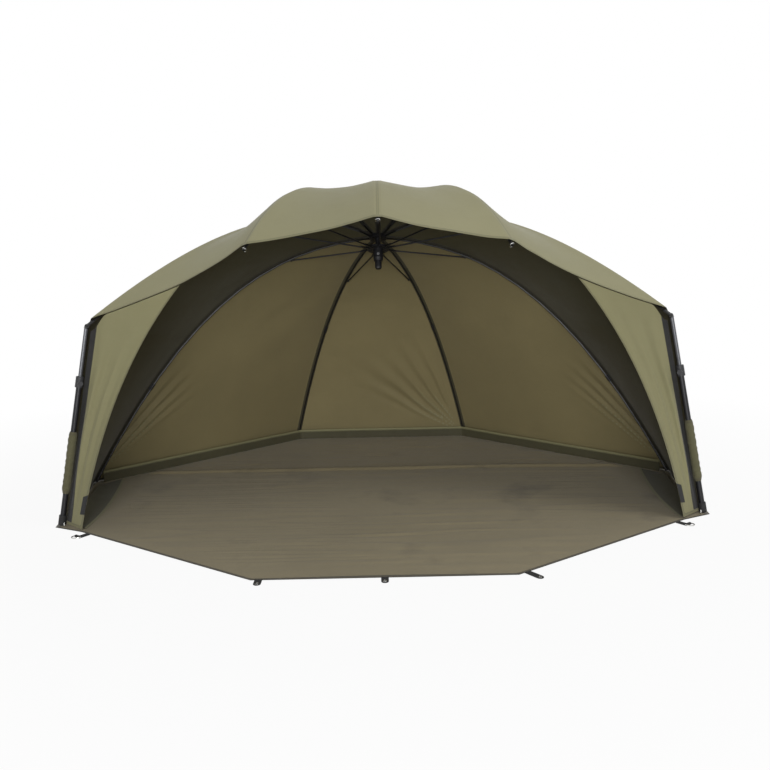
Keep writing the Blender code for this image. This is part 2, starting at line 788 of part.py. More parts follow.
def side_edge(rib, along, across):
    """The side panel's front edge: over the front rib, then down behind the pole."""
    pivot, _, _ = pole_frame(rib)
    if along <= EASE_SHARE:
        return seam(rib, along, across)
    if along <= TURN_SHARE:
        part = (along - EASE_SHARE) / (TURN_SHARE - EASE_SHARE)
        return seam(rib, EASE_SHARE + (1 - EASE_SHARE) * part, across)
    below = (along - POLE_TOP_SHARE) / (1 - POLE_TOP_SHARE)
    hem_share = 1 - (WING_HEM_UP + SHEET) / (pivot.z - SHEET)
    behind = SLEEVE_R + TOUCH + FABRIC + abs(across) - SEAM_GAP / 2
    return pole_edge(rib, below * hem_share, 0, -behind)


def evenly(low, high, steps):
    return [low + (high - low) * i / steps for i in range(steps + 1)]


def taut(sag):
    """How a panel between two ribs is drawn in, by how far it is along and across."""

    def moved(point, along, share):
        inward = (CENTRE_OF_ROOM - point).normalized()
        return inward * sag * 4 * share * (1 - share) * ease(FLAT_SHARE, SAG_FULL_SHARE, along)

    return moved


def skin(name, edge_a, edge_b, moved, stations, columns, out, look, strip=SEAM_STRIP):
    """A fabric panel between two edges, moved off the straight between them, thickened outwards."""
    shape = bmesh.new()
    grid = []
    for along in stations:
        a, b = edge_a(along, strip), edge_b(along, strip)
        line = [shape.verts.new(edge_a(along, 0))] if strip else []
        for j in range(columns + 1):
            share = j / columns
            point = a.lerp(b, share)
            line.append(shape.verts.new(point + moved(point, along, share)))
        if strip:
            line.append(shape.verts.new(edge_b(along, 0)))
        grid.append(line)
    for i in range(len(grid) - 1):
        for j in range(len(grid[i]) - 1):
            shape.faces.new((grid[i][j], grid[i][j + 1], grid[i + 1][j + 1], grid[i + 1][j]))
    bmesh.ops.recalc_face_normals(shape, faces=shape.faces)
    shape.normal_update()
    middle = grid[len(grid) // 2][columns // 2]
    if middle.normal.dot(out(middle.co)) < 0:
        bmesh.ops.reverse_faces(shape, faces=shape.faces)
    obj = mesh_object(name, shape)
    wall = obj.modifiers.new("cloth", "SOLIDIFY")
    wall.thickness = FABRIC
    wall.offset = 1
    wall.use_even_offset = True
    add(obj, look)
    smooth(obj, math.radians(60))
    return obj


def from_room(point):
    return point - CENTRE_OF_ROOM


def gore(name, first, second, sag, first_edge=None):
    """One canopy panel between two ribs, with a flat strip over each."""
    side_a = across_sign(first, second)
    side_b = across_sign(second, first)

    def edge_a(along, strip_wide):
        return (first_edge or seam)(first, along, side_a * (SEAM_GAP / 2 + strip_wide))

    def edge_b(along, strip_wide):
        return seam(second, along, side_b * (SEAM_GAP / 2 + strip_wide))

    if first_edge:
        bend = evenly(EASE_SHARE, TURN_SHARE, SIDE_ROWS)
        stations = [0, FLAT_SHARE, *bend, *evenly(POLE_TOP_SHARE, 1, POLE_ROWS)]
    else:
        stations = [0, FLAT_SHARE, *evenly(EASE_SHARE, 1, PANEL_ROWS)]
    look = (OLIVE, 0.8, 0.0)
    return skin(name, edge_a, edge_b, taut(sag), stations, PANEL_COLUMNS, from_room, look)


def across_sign(rib, neighbour):
    """Which way across the rib's plane its neighbour lies, as Rib.place counts it."""
    turn = (neighbour.azimuth - rib.azimuth + math.pi) % math.tau - math.pi
    return rib.side * (1 if turn > 0 else -1)


def canopy():
    for side in ("left", "right"):
        centre, peak, front = RIBS["centre"], RIBS["peak_" + side], RIBS["front_" + side]
        flank, rear = RIBS["side_" + side], RIBS["rear_" + side]
        gore("peak_panel_" + side, centre, peak, PANEL_SAG)
        gore("lobe_panel_" + side, peak, front, LOBE_SAG)
        gore("side_panel_" + side, front, flank, SIDE_SAG, side_edge)
        gore("back_panel_" + side, flank, rear, PANEL_SAG)
    gore("rear_panel", RIBS["rear_left"], RIBS["rear_right"], PANEL_SAG)


def eave(side, share):
    """A point of the canopy's hem between the peak rib and the front rib."""
    name = "left" if side < 0 else "right"
    peak, front = RIBS["peak_" + name], RIBS["front_" + name]
    a = seam(peak, 1, across_sign(peak, front) * SEAM_GAP / 2)
    b = seam(front, 1, across_sign(front, peak) * SEAM_GAP / 2)
    return a.lerp(b, share)


def storm_side(side):
    """The wing that closes the front beside the pole, from the eave to the groundsheet."""
    name = "left" if side < 0 else "right"
    rib = RIBS["front_" + name]
    pivot, _, _ = pole_frame(rib)
    top = eave(side, WING_EAVE_SHARE) - Vector((0, 0, WING_UNDER_EAVE))
    corner = Vector((side * WING_CORNER_ACROSS, WING_CORNER_BACK, SHEET + WING_HEM_UP))
    drawn = Vector((side * WING_EDGE_PULL, 0, WING_EDGE_PULL * WING_EDGE_LIFT_SHARE))
    pull = top.lerp(corner, WING_EDGE_BEND_SHARE) + drawn
    hem_share = 1 - (WING_HEM_UP + SHEET) / pivot.z

    def inner(along, _):
        return (
            top * (1 - along) ** 2 + pull * 2 * along * (1 - along) + corner * along**2
        )

    def outer(along, _):
        start = 2 * POLE_HEAD_R / pivot.z
        share = start + (hem_share - start) * along
        return pole_edge(rib, share, -SLEEVE_R - TOUCH)

    def ahead(_):
        return Vector((0, -1, 0))

    def hanging(_, along, share):
        wave = math.sin(math.tau * WING_FOLDS * share) * (1 - share)
        return Vector((0, WING_FOLD * wave * math.sin(math.pi * along), 0))

    rows = evenly(0, 1, WING_ROWS)
    look = (OLIVE, 0.8, 0.0)
    return skin("storm_side_" + name, outer, inner, hanging, rows, WING_COLUMNS, ahead, look, 0)


def storm_pole(side):
    """A two-part pole: inner tube from the rib's tip, outer tube with collar, screw, sleeve and shoe."""
    name = "left" if side < 0 else "right"
    rib = RIBS["front_" + name]
    pivot, down, long = pole_frame(rib)
    along = down.to_track_quat("-Z", "Y").to_matrix().to_4x4()
    swing = empty("pole_pin_" + name, Matrix.Translation(pivot) @ along)
    head_axis = swing.matrix_world.inverted().to_3x3() @ (rib.place(1, 0, 1) - rib.place(1, 0, 0))
    head_axis = head_axis.normalized()
    shape = bmesh.new()
    half = head_axis * POLE_HEAD_THICK / 2
    cylinder(shape, -half, half, POLE_HEAD_R, 20)
    head = mesh_object("head_" + name, shape)
    helper(head)
    head.parent = swing
    inner = rod(
        "pole_inner_" + name, [(0, 0, 0), (0, 0, -POLE_INNER_LONG)], POLE_INNER_R, resolution=3
    )
    boolean(inner, head, "UNION")
    add(inner, (GREY, 0.35, 0.6), swing)
    smooth(inner)

    slide = empty("pole_slide_" + name, Matrix.Translation((0, 0, -POLE_COLLAR_DOWN)), swing)
    shoe_top = long - SHOE_LONG
    tube_long = shoe_top + SHOE_SEAT - POLE_COLLAR_DOWN - TOUCH
    bore = POLE_INNER_R + SLIDE_GAP
    outer = turned(
        "pole_outer_" + name,
        [(bore, 0), (POLE_OUTER_R, 0), (POLE_OUTER_R, -tube_long), (bore, -tube_long)],
        16,
    )
    add(outer, (BLACK, 0.35, 0.5), slide)
    smooth(outer)
    pole_collar(name, slide, side)
    pole_sleeve(name, slide)
    lean = math.acos(-down.z)
    shoe(name, slide, shoe_top, tube_long, long - (SHOE_R - SHOE_CUT) * math.tan(lean))


def pole_collar(name, slide, side):
    """The clamp round the outer tube's mouth, and its thumbscrew."""
    bore = POLE_OUTER_R + TOUCH
    lip = POLE_INNER_R + SLIDE_GAP
    collar = turned(
        "pole_collar_" + name,
        [
            (lip, POLE_COLLAR_LIP),
            (POLE_COLLAR_R - EDGE_CUT, POLE_COLLAR_LIP),
            (POLE_COLLAR_R, POLE_COLLAR_LIP - EDGE_CUT),
            (POLE_COLLAR_R, -POLE_COLLAR_LONG),
            (bore, -POLE_COLLAR_LONG),
            (bore, TOUCH),
            (lip, TOUCH),
        ],
        20,
    )
    middle = -POLE_COLLAR_LONG / 2
    shape = bmesh.new()
    end = side * (POLE_COLLAR_R + OVERRUN)
    cylinder(shape, (side * bore, 0, middle), (end, 0, middle), SCREW_R + TOUCH, 14)
    hole = helper(mesh_object("screw_hole_" + name, shape))
    hole.parent = slide
    boolean(collar, hole, "DIFFERENCE")
    add(collar, (BLACK, 0.5, 0.0), slide)
    smooth(collar)
    place = Matrix.Translation((side * (POLE_COLLAR_R + TOUCH), 0, middle))
    screw_axis = empty("screw_axis_" + name, place, slide)
    shape = bmesh.new()
    back = side * (POLE_OUTER_R + 2 * TOUCH - POLE_COLLAR_R - TOUCH)
    cylinder(shape, (back, 0, 0), (side * (SCREW_NECK + OVERRUN / 2), 0, 0), SCREW_R, 14)
    screw = mesh_object("thumbscrew_" + name, shape)
    outline = []
    points = SCREW_LOBES * SCREW_POINTS
    for i in range(points):
        turn = math.tau * i / points
        radius = SCREW_KNOB_R * (1 - SCREW_LOBE_SHARE * (1 - math.cos(SCREW_LOBES * turn)) / 2)
        outline.append((radius * math.cos(turn), radius * math.sin(turn)))
    knob = plate("knob_" + name, [outline], SCREW_KNOB_LONG)
    knob.data.transform(Matrix.Rotation(math.pi / 2, 4, "Z"))
    knob.data.transform(Matrix.Translation((side * (SCREW_NECK + SCREW_KNOB_LONG / 2), 0, 0)))
    helper(knob)
    knob.parent = screw_axis
    boolean(screw, knob, "UNION")
    add(screw, (BLACK, 0.4, 0.0), screw_axis)
    smooth(screw)


def pole_sleeve(name, slide):
    """The fabric sleeve that holds the storm side to the pole."""
    top = POLE_COLLAR_DOWN - SLEEVE_DOWN
    bore = POLE_OUTER_R + TOUCH
    outside = [
        (SLEEVE_R - SLEEVE_GATHER_DEEP * (i % 2), top - SLEEVE_LONG * i / SLEEVE_GATHERS)
        for i in range(SLEEVE_GATHERS + 1)
    ]
    sleeve = turned(
        "pole_sleeve_" + name, [(bore, top), *outside, (bore, top - SLEEVE_LONG)], 16
    )
    add(sleeve, (OLIVE, 0.85, 0.0), slide)
    smooth(sleeve)


def shoe(name, slide, shoe_top, tube_long, end_down):
    """The rubber shoe that the pole stands on, with the rim of its sole on the groundsheet."""
    top = POLE_COLLAR_DOWN - shoe_top
    bore = POLE_OUTER_R + TOUCH
    floor = -tube_long - TOUCH
    end = POLE_COLLAR_DOWN - end_down
    body = turned(
        "pole_shoe_" + name,
        [
            (0, floor),
            (bore, floor),
            (bore, top),
            (SHOE_R, top),
            (SHOE_R, end + SHOE_CUT),
            (SHOE_R - SHOE_CUT, end),
            (0, end),
        ],
        20,
    )
    add(body, (BLACK, 0.7, 0.0), slide)
    smooth(body)


def sheet_corners():
    """The groundsheet's outline, anticlockwise from its front right corner."""
    right = [
        Vector((SHEET_FRONT_ACROSS, SHEET_FRONT_BACK)),
        Vector((WING_CORNER_ACROSS, WING_CORNER_BACK - SHEET_MARGIN / 2)),
        Vector((POLE_FOOT_ACROSS + SHEET_MARGIN, POLE_FOOT_BACK - SHEET_MARGIN)),
        Vector((SIDE_FOOT_ACROSS + SHEET_MARGIN, SIDE_FOOT_BACK - SHEET_MARGIN)),
        Vector((REAR_FOOT_ACROSS + SHEET_MARGIN / 2, REAR_FOOT_BACK + SHEET_MARGIN)),
    ]
    left = [Vector((-point.x, point.y)) for point in reversed(right)]
    return right + left


def flat_solid(name, outline, low, high, look):
    """A prism over a flat outline, between two heights."""
    shape = bmesh.new()
    base = [shape.verts.new((x, y, low)) for x, y in outline]
    face = shape.faces.new(base)
    bmesh.ops.recalc_face_normals(shape, faces=shape.faces)
    grown = bmesh.ops.extrude_face_region(shape, geom=[face])["geom"]
    lifted = [piece for piece in grown if isinstance(piece, bmesh.types.BMVert)]
    bmesh.ops.translate(shape, verts=lifted, vec=(0, 0, high - low))
    bmesh.ops.recalc_face_normals(shape, faces=shape.faces)
    return add(mesh_object(name, shape), look)


def groundsheet():
    outline = [tuple(point) for point in sheet_corners()]
    flat_solid("groundsheet", outline, 0, SHEET, (FLOOR_OLIVE, 0.8, 0.0))


def mud_wall():
    """The low wall inside the hem, from one side foot round the back to the other."""
    right = [
        Vector((SIDE_FOOT_ACROSS, SIDE_FOOT_BACK)),
        Vector((REAR_FOOT_ACROSS, REAR_FOOT_BACK)),
    ]
    path = right + [Vector((-point.x, point.y)) for point in reversed(right)]
    middle = Vector((0, CROWN_BACK))

    def drawn_in(point, inset):
        return point + (middle - point).normalized() * inset

    outside = [drawn_in(point, WALL_INSET) for point in path]
    inside = [drawn_in(point, WALL_INSET + WALL_THICK * WALL_SLANT_SHARE) for point in reversed(path)]
    outline = [tuple(point) for point in outside + inside]
    low = SHEET + TOUCH
    flat_solid("mud_wall", outline, low, low + WALL_HIGH, (DARK_OLIVE, 0.85, 0.0))


def outward_of(start, end):
    """The level direction square to an edge of the groundsheet, away from it."""
    run = (Vector(end) - Vector(start)).normalized()
    return Vector((run.y, -run.x))


def tab_place(start, end, share):
    """World frame at a share of an edge of the groundsheet: X leads away from it."""
    point = Vector(start).lerp(Vector(end), share)
    away = outward_of(start, end)
    point += away * TOUCH
    turn = Matrix.Rotation(math.atan2(away.y, away.x), 4, "Z")
    return Matrix.Translation((point.x, point.y, 0)) @ turn


def peg_tab(name, place, long):
    """A flat webbing tongue on the ground, rounded at its free end, with a hole for a peg."""
    half = TAB_WIDE / 2
    end = circle_points((long - half, 0), half, 8, -math.pi / 2, math.pi)
    outline = [(0, half), (0, -half), *end]
    hole = circle_points((long - half, 0), PEG_HOLE_R, 12)
    tab = plate(name, [outline, hole], TAB_THICK)
    tab.data.transform(Matrix.Translation((0, 0, TAB_THICK / 2)) @ Matrix.Rotation(-math.pi / 2, 4, "X"))
    tab.data.transform(place)
    return add(tab, (BLACK, 0.8, 0.0))


def ring_tab(name, place):
    """A webbing tongue folded round the straight bar of a D-ring, and the ring in it."""
    eye_r = RING_WIRE_R + PIN_GAP + TAB_THICK
    centre = (TAB_LONG, eye_r)
    lap = math.asin(1 - TAB_THICK / eye_r)
    eye = circle_points(centre, eye_r, 14, -math.pi / 2, math.pi + math.pi / 2 + lap)
    outline = [(0, TAB_THICK), (0, 0), *eye]
    hole = circle_points(centre, RING_WIRE_R + PIN_GAP, 12)
    tab = plate("ring_tab_" + name, [outline, hole], TAB_WIDE)
    tab.data.transform(place)
    add(tab, (BLACK, 0.8, 0.0))
    pivot = empty("ring_pin_" + name, place @ Matrix.Translation((TAB_LONG, 0, eye_r)))
    half = RING_WIDE / 2
    bow = circle_points((RING_DEEP - half, 0), half, 8, -math.pi / 2, math.pi)
    path = [(0, half, 0), (0, -half, 0), *[(x, y, 0) for x, y in bow]]
    ring = tube("d_ring_" + name, path, RING_WIRE_R, resolution=1)
    ring.data.splines[0].use_cyclic_u = True
    return add(ring, (STEEL, 0.25, 1.0), pivot)


def tip_ring():
    """The small ring on the centre rib's bare tip."""
    rib = RIBS["centre"]
    share = 1 - TIP_BARE / 2 / (rib.reach * math.hypot(1, rib.slope_at(1)))
    reach, height = rib.plane_point(share)
    slope = math.atan(rib.slope_at(share))
    bmesh_turn = Matrix.Translation((reach, 0, height)) @ Matrix.Rotation(slope + math.pi / 2, 4, "Y")
    path = [(x, y, 0) for x, y in circle_points((0, 0), TIP_CAP_R + TOUCH + TIP_RING_WIRE_R, 16)]
    ring = tube("tip_ring", path, TIP_RING_WIRE_R, resolution=1)
    ring.data.splines[0].use_cyclic_u = True
    ring.matrix_world = CROWN @ rib.frame() @ bmesh_turn
    return add(ring, (STEEL, 0.4, 0.0))


def ground_fittings():
    """The tabs, strap and rings round the groundsheet's front."""
    outline = sheet_corners()
    front, corner = outline[0], outline[1]
    left, left_corner = outline[-1], outline[-2]
    for name, start, end, share in (
        ("right", front, corner, RING_TAB_SHARE),
        ("left", left_corner, left, 1 - RING_TAB_SHARE),
    ):
        ring_tab(name, tab_place(start, end, share))
    peg_tab("peg_tab_left", tab_place(left, front, PEG_TAB_SHARE), TAB_LONG)
    peg_tab("peg_tab_centre", tab_place(left, front, 0.5), TAB_LONG)
    peg_tab("front_strap", tab_place(front, corner, STRAP_SHARE), STRAP_LONG)


def build():
    clear_scene()
    crown = crown_axis()
    crown_hub(crown)
    crown_cap(crown)
    stem(crown)
    runner(crown)
    for rib in RIBS.values():
        rib_solid(rib, crown)
        stretcher_solid(rib, crown)
    canopy()
    for side in (-1, 1):
        storm_side(side)
        storm_pole(side)
    groundsheet()
    mud_wall()
    ground_fittings()
    tip_ring()


build()
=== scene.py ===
"""Looks for an oval fishing umbrella: sewn cloth, ribs, poles, webbing and a plain studio.

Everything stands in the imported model's frame: metres, +Z up. The open front faces -Y, and left and
right are as seen from there, so that left is -X. Places along the ribs and poles follow the same
named sizes as the solids.
"""

from __future__ import annotations

import json
import logging
import math
from dataclasses import dataclass, field
from enum import Enum
from typing import Callable, Iterable, Sequence

import bmesh
import bpy
from mathutils import Matrix, Vector, noise

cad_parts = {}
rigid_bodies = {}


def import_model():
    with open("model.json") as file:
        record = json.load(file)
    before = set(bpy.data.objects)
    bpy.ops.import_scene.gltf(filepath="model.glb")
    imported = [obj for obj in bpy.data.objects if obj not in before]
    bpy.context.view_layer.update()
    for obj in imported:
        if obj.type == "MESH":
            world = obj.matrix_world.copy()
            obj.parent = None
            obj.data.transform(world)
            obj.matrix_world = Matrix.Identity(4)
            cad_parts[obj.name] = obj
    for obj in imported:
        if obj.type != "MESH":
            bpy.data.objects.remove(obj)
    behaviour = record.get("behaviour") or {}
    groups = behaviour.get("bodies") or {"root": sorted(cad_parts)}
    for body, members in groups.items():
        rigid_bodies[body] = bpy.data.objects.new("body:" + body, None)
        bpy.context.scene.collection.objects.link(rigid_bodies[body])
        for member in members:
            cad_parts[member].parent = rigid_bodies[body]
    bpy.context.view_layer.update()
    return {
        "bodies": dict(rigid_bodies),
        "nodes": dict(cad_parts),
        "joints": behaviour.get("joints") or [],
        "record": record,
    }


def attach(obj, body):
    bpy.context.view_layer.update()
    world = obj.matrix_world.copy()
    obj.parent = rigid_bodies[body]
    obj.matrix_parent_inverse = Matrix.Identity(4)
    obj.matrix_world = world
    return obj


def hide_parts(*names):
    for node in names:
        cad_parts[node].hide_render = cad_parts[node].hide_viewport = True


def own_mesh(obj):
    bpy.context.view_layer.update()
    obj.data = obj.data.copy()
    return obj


LOG = logging.getLogger("umbrella")
MM = 0.001
MERGE = 0.01 * MM
FAR = 10.0  # a distance from the hem that stands for no hem
Grid = list[list[Vector]]
Pair = tuple[float, float]


class Side(Enum):
    """The two sides, as seen from the open front."""

    LEFT = -1
    RIGHT = 1

    @property
    def word(self) -> str:
        """The side's word in node names."""
        return self.name.lower()


def ease(low: float, high: float, value: float) -> float:
    """Eases from 0 at low to 1 at high."""
    share = min(max((value - low) / (high - low), 0.0), 1.0)
    return share * share * (3 - 2 * share)


def evenly(low: float, high: float, steps: int) -> list[float]:
    """Splits a span into equal steps and gives their ends."""
    return [low + (high - low) * i / steps for i in range(steps + 1)]


def polar(radius: float, turn: float, up: float) -> Vector:
    """A point on a circle round Z."""
    return Vector((radius * math.cos(turn), radius * math.sin(turn), up))


def linear(colour: str) -> tuple[float, float, float, float]:
    """Turns an sRGB hex colour to a linear one.

    Args:
        colour: Six hex digits.

    Returns:
        Linear red, green, blue and 1.
    """
    shares = [int(colour[i : i + 2], 16) / 255 for i in (0, 2, 4)]
    r, g, b = (s / 12.92 if s <= 0.04045 else ((s + 0.055) / 1.055) ** 2.4 for s in shares)
    return (r, g, b, 1.0)


def add_node(
    tree: bpy.types.NodeTree, kind: str, inputs: dict | None = None, **settings: object
) -> bpy.types.Node:
    """Adds one shader node to a tree, with its settings and links.

    Args:
        tree: The node tree.
        kind: Blender's type name of the node, without "ShaderNode".
        inputs: Values, sockets, or nodes for their first output, by the input's name or index.
        **settings: The node's own properties.

    Returns:
        The new node.
    """
    made = tree.nodes.new(f"ShaderNode{kind}")
    for name, value in settings.items():
        setattr(made, name, value)
    for key, value in (inputs or {}).items():
        source = value.outputs[0] if isinstance(value, bpy.types.Node) else value
        if isinstance(source, bpy.types.NodeSocket):
            tree.links.new(source, made.inputs[key])
        else:
            made.inputs[key].default_value = source
    return made


def add_object(name: str, data: bpy.types.ID) -> bpy.types.Object:
    """Puts a mesh, a lamp or a camera in the scene.

    Args:
        name: The object's name.
        data: What it shows.

    Returns:
        The object.
    """
    obj = bpy.data.objects.new(name, data)
    bpy.context.scene.collection.objects.link(obj)
    return obj


# ---------------------------------------------------------------- finishes


@dataclass(frozen=True)
class Finish:
    """What every finish has: a name, one colour and how it takes the light."""

    name: str
    colour: str
    roughness: float = 0.6
    metallic: float = 0.0
    ior: float = 1.5

    def tint(self, share: float, lift: float = 0.0) -> tuple[float, ...]:
        """The finish's colour, scaled and lifted."""
        return (*(min(1.0, c * share + lift) for c in linear(self.colour)[:3]), 1.0)

    def start(self) -> tuple[bpy.types.Material, bpy.types.NodeTree, bpy.types.NodeSocket]:
        """Makes the material with its shader.

        Returns:
            The material, its node tree and the object coordinates.
        """
        made = bpy.data.materials.new(self.name)
        made.use_nodes = True
        tree = made.node_tree
        values = {"Base Color": linear(self.colour), "Roughness": self.roughness, "Metallic": self.metallic}
        if not self.metallic:
            values["IOR"] = self.ior
        for name, value in values.items():
            tree.nodes["Principled BSDF"].inputs[name].default_value = value
        return made, tree, add_node(tree, "TexCoord").outputs["Object"]

    def end(
        self,
        made: bpy.types.Material,
        colour: bpy.types.NodeSocket,
        reliefs: Iterable[tuple],
        uneven: tuple[bpy.types.Node, float, float] | None = None,
    ) -> bpy.types.Material:
        """Links the paint, the relief and the gloss to the shader.

        Args:
            made: The material.
            colour: Its colour.
            reliefs: For each layer what its height follows, how high it is and how much it shows.
            uneven: What the roughness follows and its changes at 0 and 1, or None for even gloss.

        Returns:
            The material.
        """
        tree = made.node_tree
        shader = tree.nodes["Principled BSDF"].inputs
        tree.links.new(colour, shader["Base Color"])
        if uneven:
            mask, low, high = uneven
            span = {"Value": mask, "To Min": self.roughness + low, "To Max": self.roughness + high}
            tree.links.new(add_node(tree, "MapRange", span).outputs[0], shader["Roughness"])
        under: dict[str, bpy.types.Node] = {}
        for height, high, strength in reliefs:
            layer = {"Height": height, "Distance": high, "Strength": strength, **under}
            under = {"Normal": add_node(tree, "Bump", layer)}
        tree.links.new(under["Normal"].outputs[0], shader["Normal"])
        return made


@dataclass(frozen=True)
class Woven(Finish):
    """Coated polyester, woven plain and proofed on one side: matt, with a faint sheen at the edges.

    The real threads are 0.25 mm apart. They are drawn ten times as coarse, so that the weave shows.
    A band along the seam and a hem, each with its row of stitches, are painted and raised.
    """

    drift: float = 0.12
    thread: float = 2.5 * MM
    thread_high: float = 0.08 * MM
    sheen: float = 0.15
    band: str = ""
    band_wide: float = 0.0
    hem: str = ""
    hem_wide: float = 0.0
    tape_high: float = 0.5 * MM
    stitch: str = "4A4734"
    stitch_long: float = 7 * MM
    stitch_in: float = 2.5 * MM
    stitch_wide: float = 0.9 * MM
    crease: float = 1.2 * MM
    crease_per_metre: float = 7.0
    stain: str = ""

    def material(self) -> bpy.types.Material:
        """Builds the cloth from the piece's own lay: run along it, distance from its seam and hem.

        Returns:
            The material.
        """
        made, tree, place = self.start()
        lay = add_node(tree, "Attribute", attribute_name="lay").outputs["Vector"]
        run, seam, hem = add_node(tree, "SeparateXYZ", {0: lay}).outputs
        cloudy = {"Vector": place, "Scale": 2.3, "Detail": 5.0, "Roughness": 0.6}
        patches = add_node(tree, "TexNoise", cloudy)
        fine = add_node(tree, "TexNoise", {"Vector": place, "Scale": 46.0, "Detail": 3.0})
        coats = [(patches, self.tint(1 - self.drift), self.tint(1 + self.drift))]
        if self.stain:
            spots = {"Value": patches, "From Min": 0.56, "From Max": 0.7, "To Max": 0.7}
            coats.append((add_node(tree, "MapRange", spots), None, linear(self.stain)))
        waves = []
        for way, long in ((run, self.thread), (seam, self.thread), (run, self.stitch_long)):
            turns = add_node(tree, "Math", {0: way, 1: math.tau / long}, operation="MULTIPLY")
            waves.append(add_node(tree, "Math", {0: turns}, operation="SINE"))
        weave = add_node(tree, "Math", {0: waves[0], 1: waves[1]}, operation="MULTIPLY")
        dashes = add_node(tree, "Math", {0: waves[2], 1: -0.4}, operation="GREATER_THAN")
        soft = {"Detail": 6.0, "Roughness": 0.55, "Distortion": 0.6}
        creases = add_node(tree, "TexNoise", {"Vector": place, "Scale": self.crease_per_metre, **soft})
        reliefs = [(creases, self.crease, 0.9), (weave, self.thread_high, 0.6)]
        for way, wide, tape in ((seam, self.band_wide, self.band), (hem, self.hem_wide, self.hem)):
            if not wide:
                continue
            row = {0: way, 1: wide - self.stitch_in, 2: self.stitch_wide}
            inside = add_node(tree, "Math", {0: way, 1: wide}, operation="LESS_THAN")
            line = add_node(tree, "Math", row, operation="COMPARE")
            sewn = add_node(tree, "Math", {0: line, 1: dashes}, operation="MULTIPLY")
            coats += [(inside, None, linear(tape)), (sewn, None, linear(self.stitch))]
            raised = add_node(tree, "Math", {0: inside, 1: sewn}, operation="SUBTRACT")
            reliefs.append((raised, self.tape_high, 0.8))
        colour = None
        for mask, under, over in coats:
            layer = {"Factor": mask, 6: under or colour, 7: over}
            colour = add_node(tree, "Mix", layer, data_type="RGBA").outputs[2]
        for name, value in (("Sheen Weight", self.sheen), ("Sheen Roughness", 0.5)):
            tree.nodes["Principled BSDF"].inputs[name].default_value = value
        return self.end(made, colour, reliefs, (fine, -0.08, 0.08))


@dataclass(frozen=True)
class Webbing(Finish):
    """Woven polypropylene webbing: flat ribs across the tape, each 1.6 mm, with a painted highlight where
    they catch the light.
    """

    rib: float = 1.6 * MM
    wave_period: float = 0.314  # the wave texture repeats every 0.314 m at a scale of 1

    def material(self) -> bpy.types.Material:
        """Builds the webbing on object coordinates.

        Returns:
            The material.
        """
        made, tree, place = self.start()
        ribbed = {"Vector": place, "Scale": self.wave_period / self.rib, "Distortion": 1.5, "Detail": 1.0}
        ribs = add_node(tree, "TexWave", ribbed).outputs["Fac"]
        fuzz = add_node(tree, "TexNoise", {"Vector": place, "Scale": 900.0})
        # painted highlight: the rib crests are mixed towards a paler tint
        shades = {"Factor": ribs, 6: linear(self.colour), 7: self.tint(2.4)}
        colour = add_node(tree, "Mix", shades, data_type="RGBA").outputs[2]
        return self.end(made, colour, [(ribs, 0.3 * MM, 0.7), (fuzz, 0.1 * MM, 0.4)])


@dataclass(frozen=True)
class Moulded(Finish):
    """Moulded nylon or rubber: a fine spark-eroded grain, rubbed smoother and paler in places."""

    grain: float = 0.5 * MM
    worn: float = 0.35

    def material(self) -> bpy.types.Material:
        """Builds the moulding on object coordinates.

        Returns:
            The material.
        """
        made, tree, place = self.start()
        grain = add_node(tree, "TexNoise", {"Vector": place, "Scale": 1 / self.grain / 2, "Detail": 2.0})
        rubbed = add_node(tree, "TexNoise", {"Vector": place, "Scale": 38.0, "Detail": 4.0})
        shades = {"Factor": rubbed, 6: linear(self.colour), 7: self.tint(1 + 2 * self.worn, 0.004)}
        colour = add_node(tree, "Mix", shades, data_type="RGBA").outputs[2]
        return self.end(made, colour, [(grain, 0.05 * MM, 0.5)], (rubbed, 0.1, -0.1))


@dataclass(frozen=True)
class Drawn(Finish):
    """Drawn tube, pultruded rod or plated wire: faint lines along it and slightly uneven gloss."""

    line: float = 0.8 * MM

    def material(self) -> bpy.types.Material:
        """Builds the drawn stock on object coordinates.

        Returns:
            The material.
        """
        made, tree, place = self.start()
        stretched = add_node(tree, "Mapping", {"Vector": place, "Scale": (1.0, 1.0, 0.06)})
        lines = add_node(tree, "TexNoise", {"Vector": stretched, "Scale": 1 / self.line / 2, "Detail": 3.0})
        cloudy = add_node(tree, "TexNoise", {"Vector": place, "Scale": 22.0, "Detail": 3.0})
        shades = {"Factor": cloudy, 6: linear(self.colour), 7: self.tint(1.35, 0.003)}
        colour = add_node(tree, "Mix", shades, data_type="RGBA").outputs[2]
        return self.end(made, colour, [(lines, 0.03 * MM, 0.4)], (lines, -0.07, 0.09))


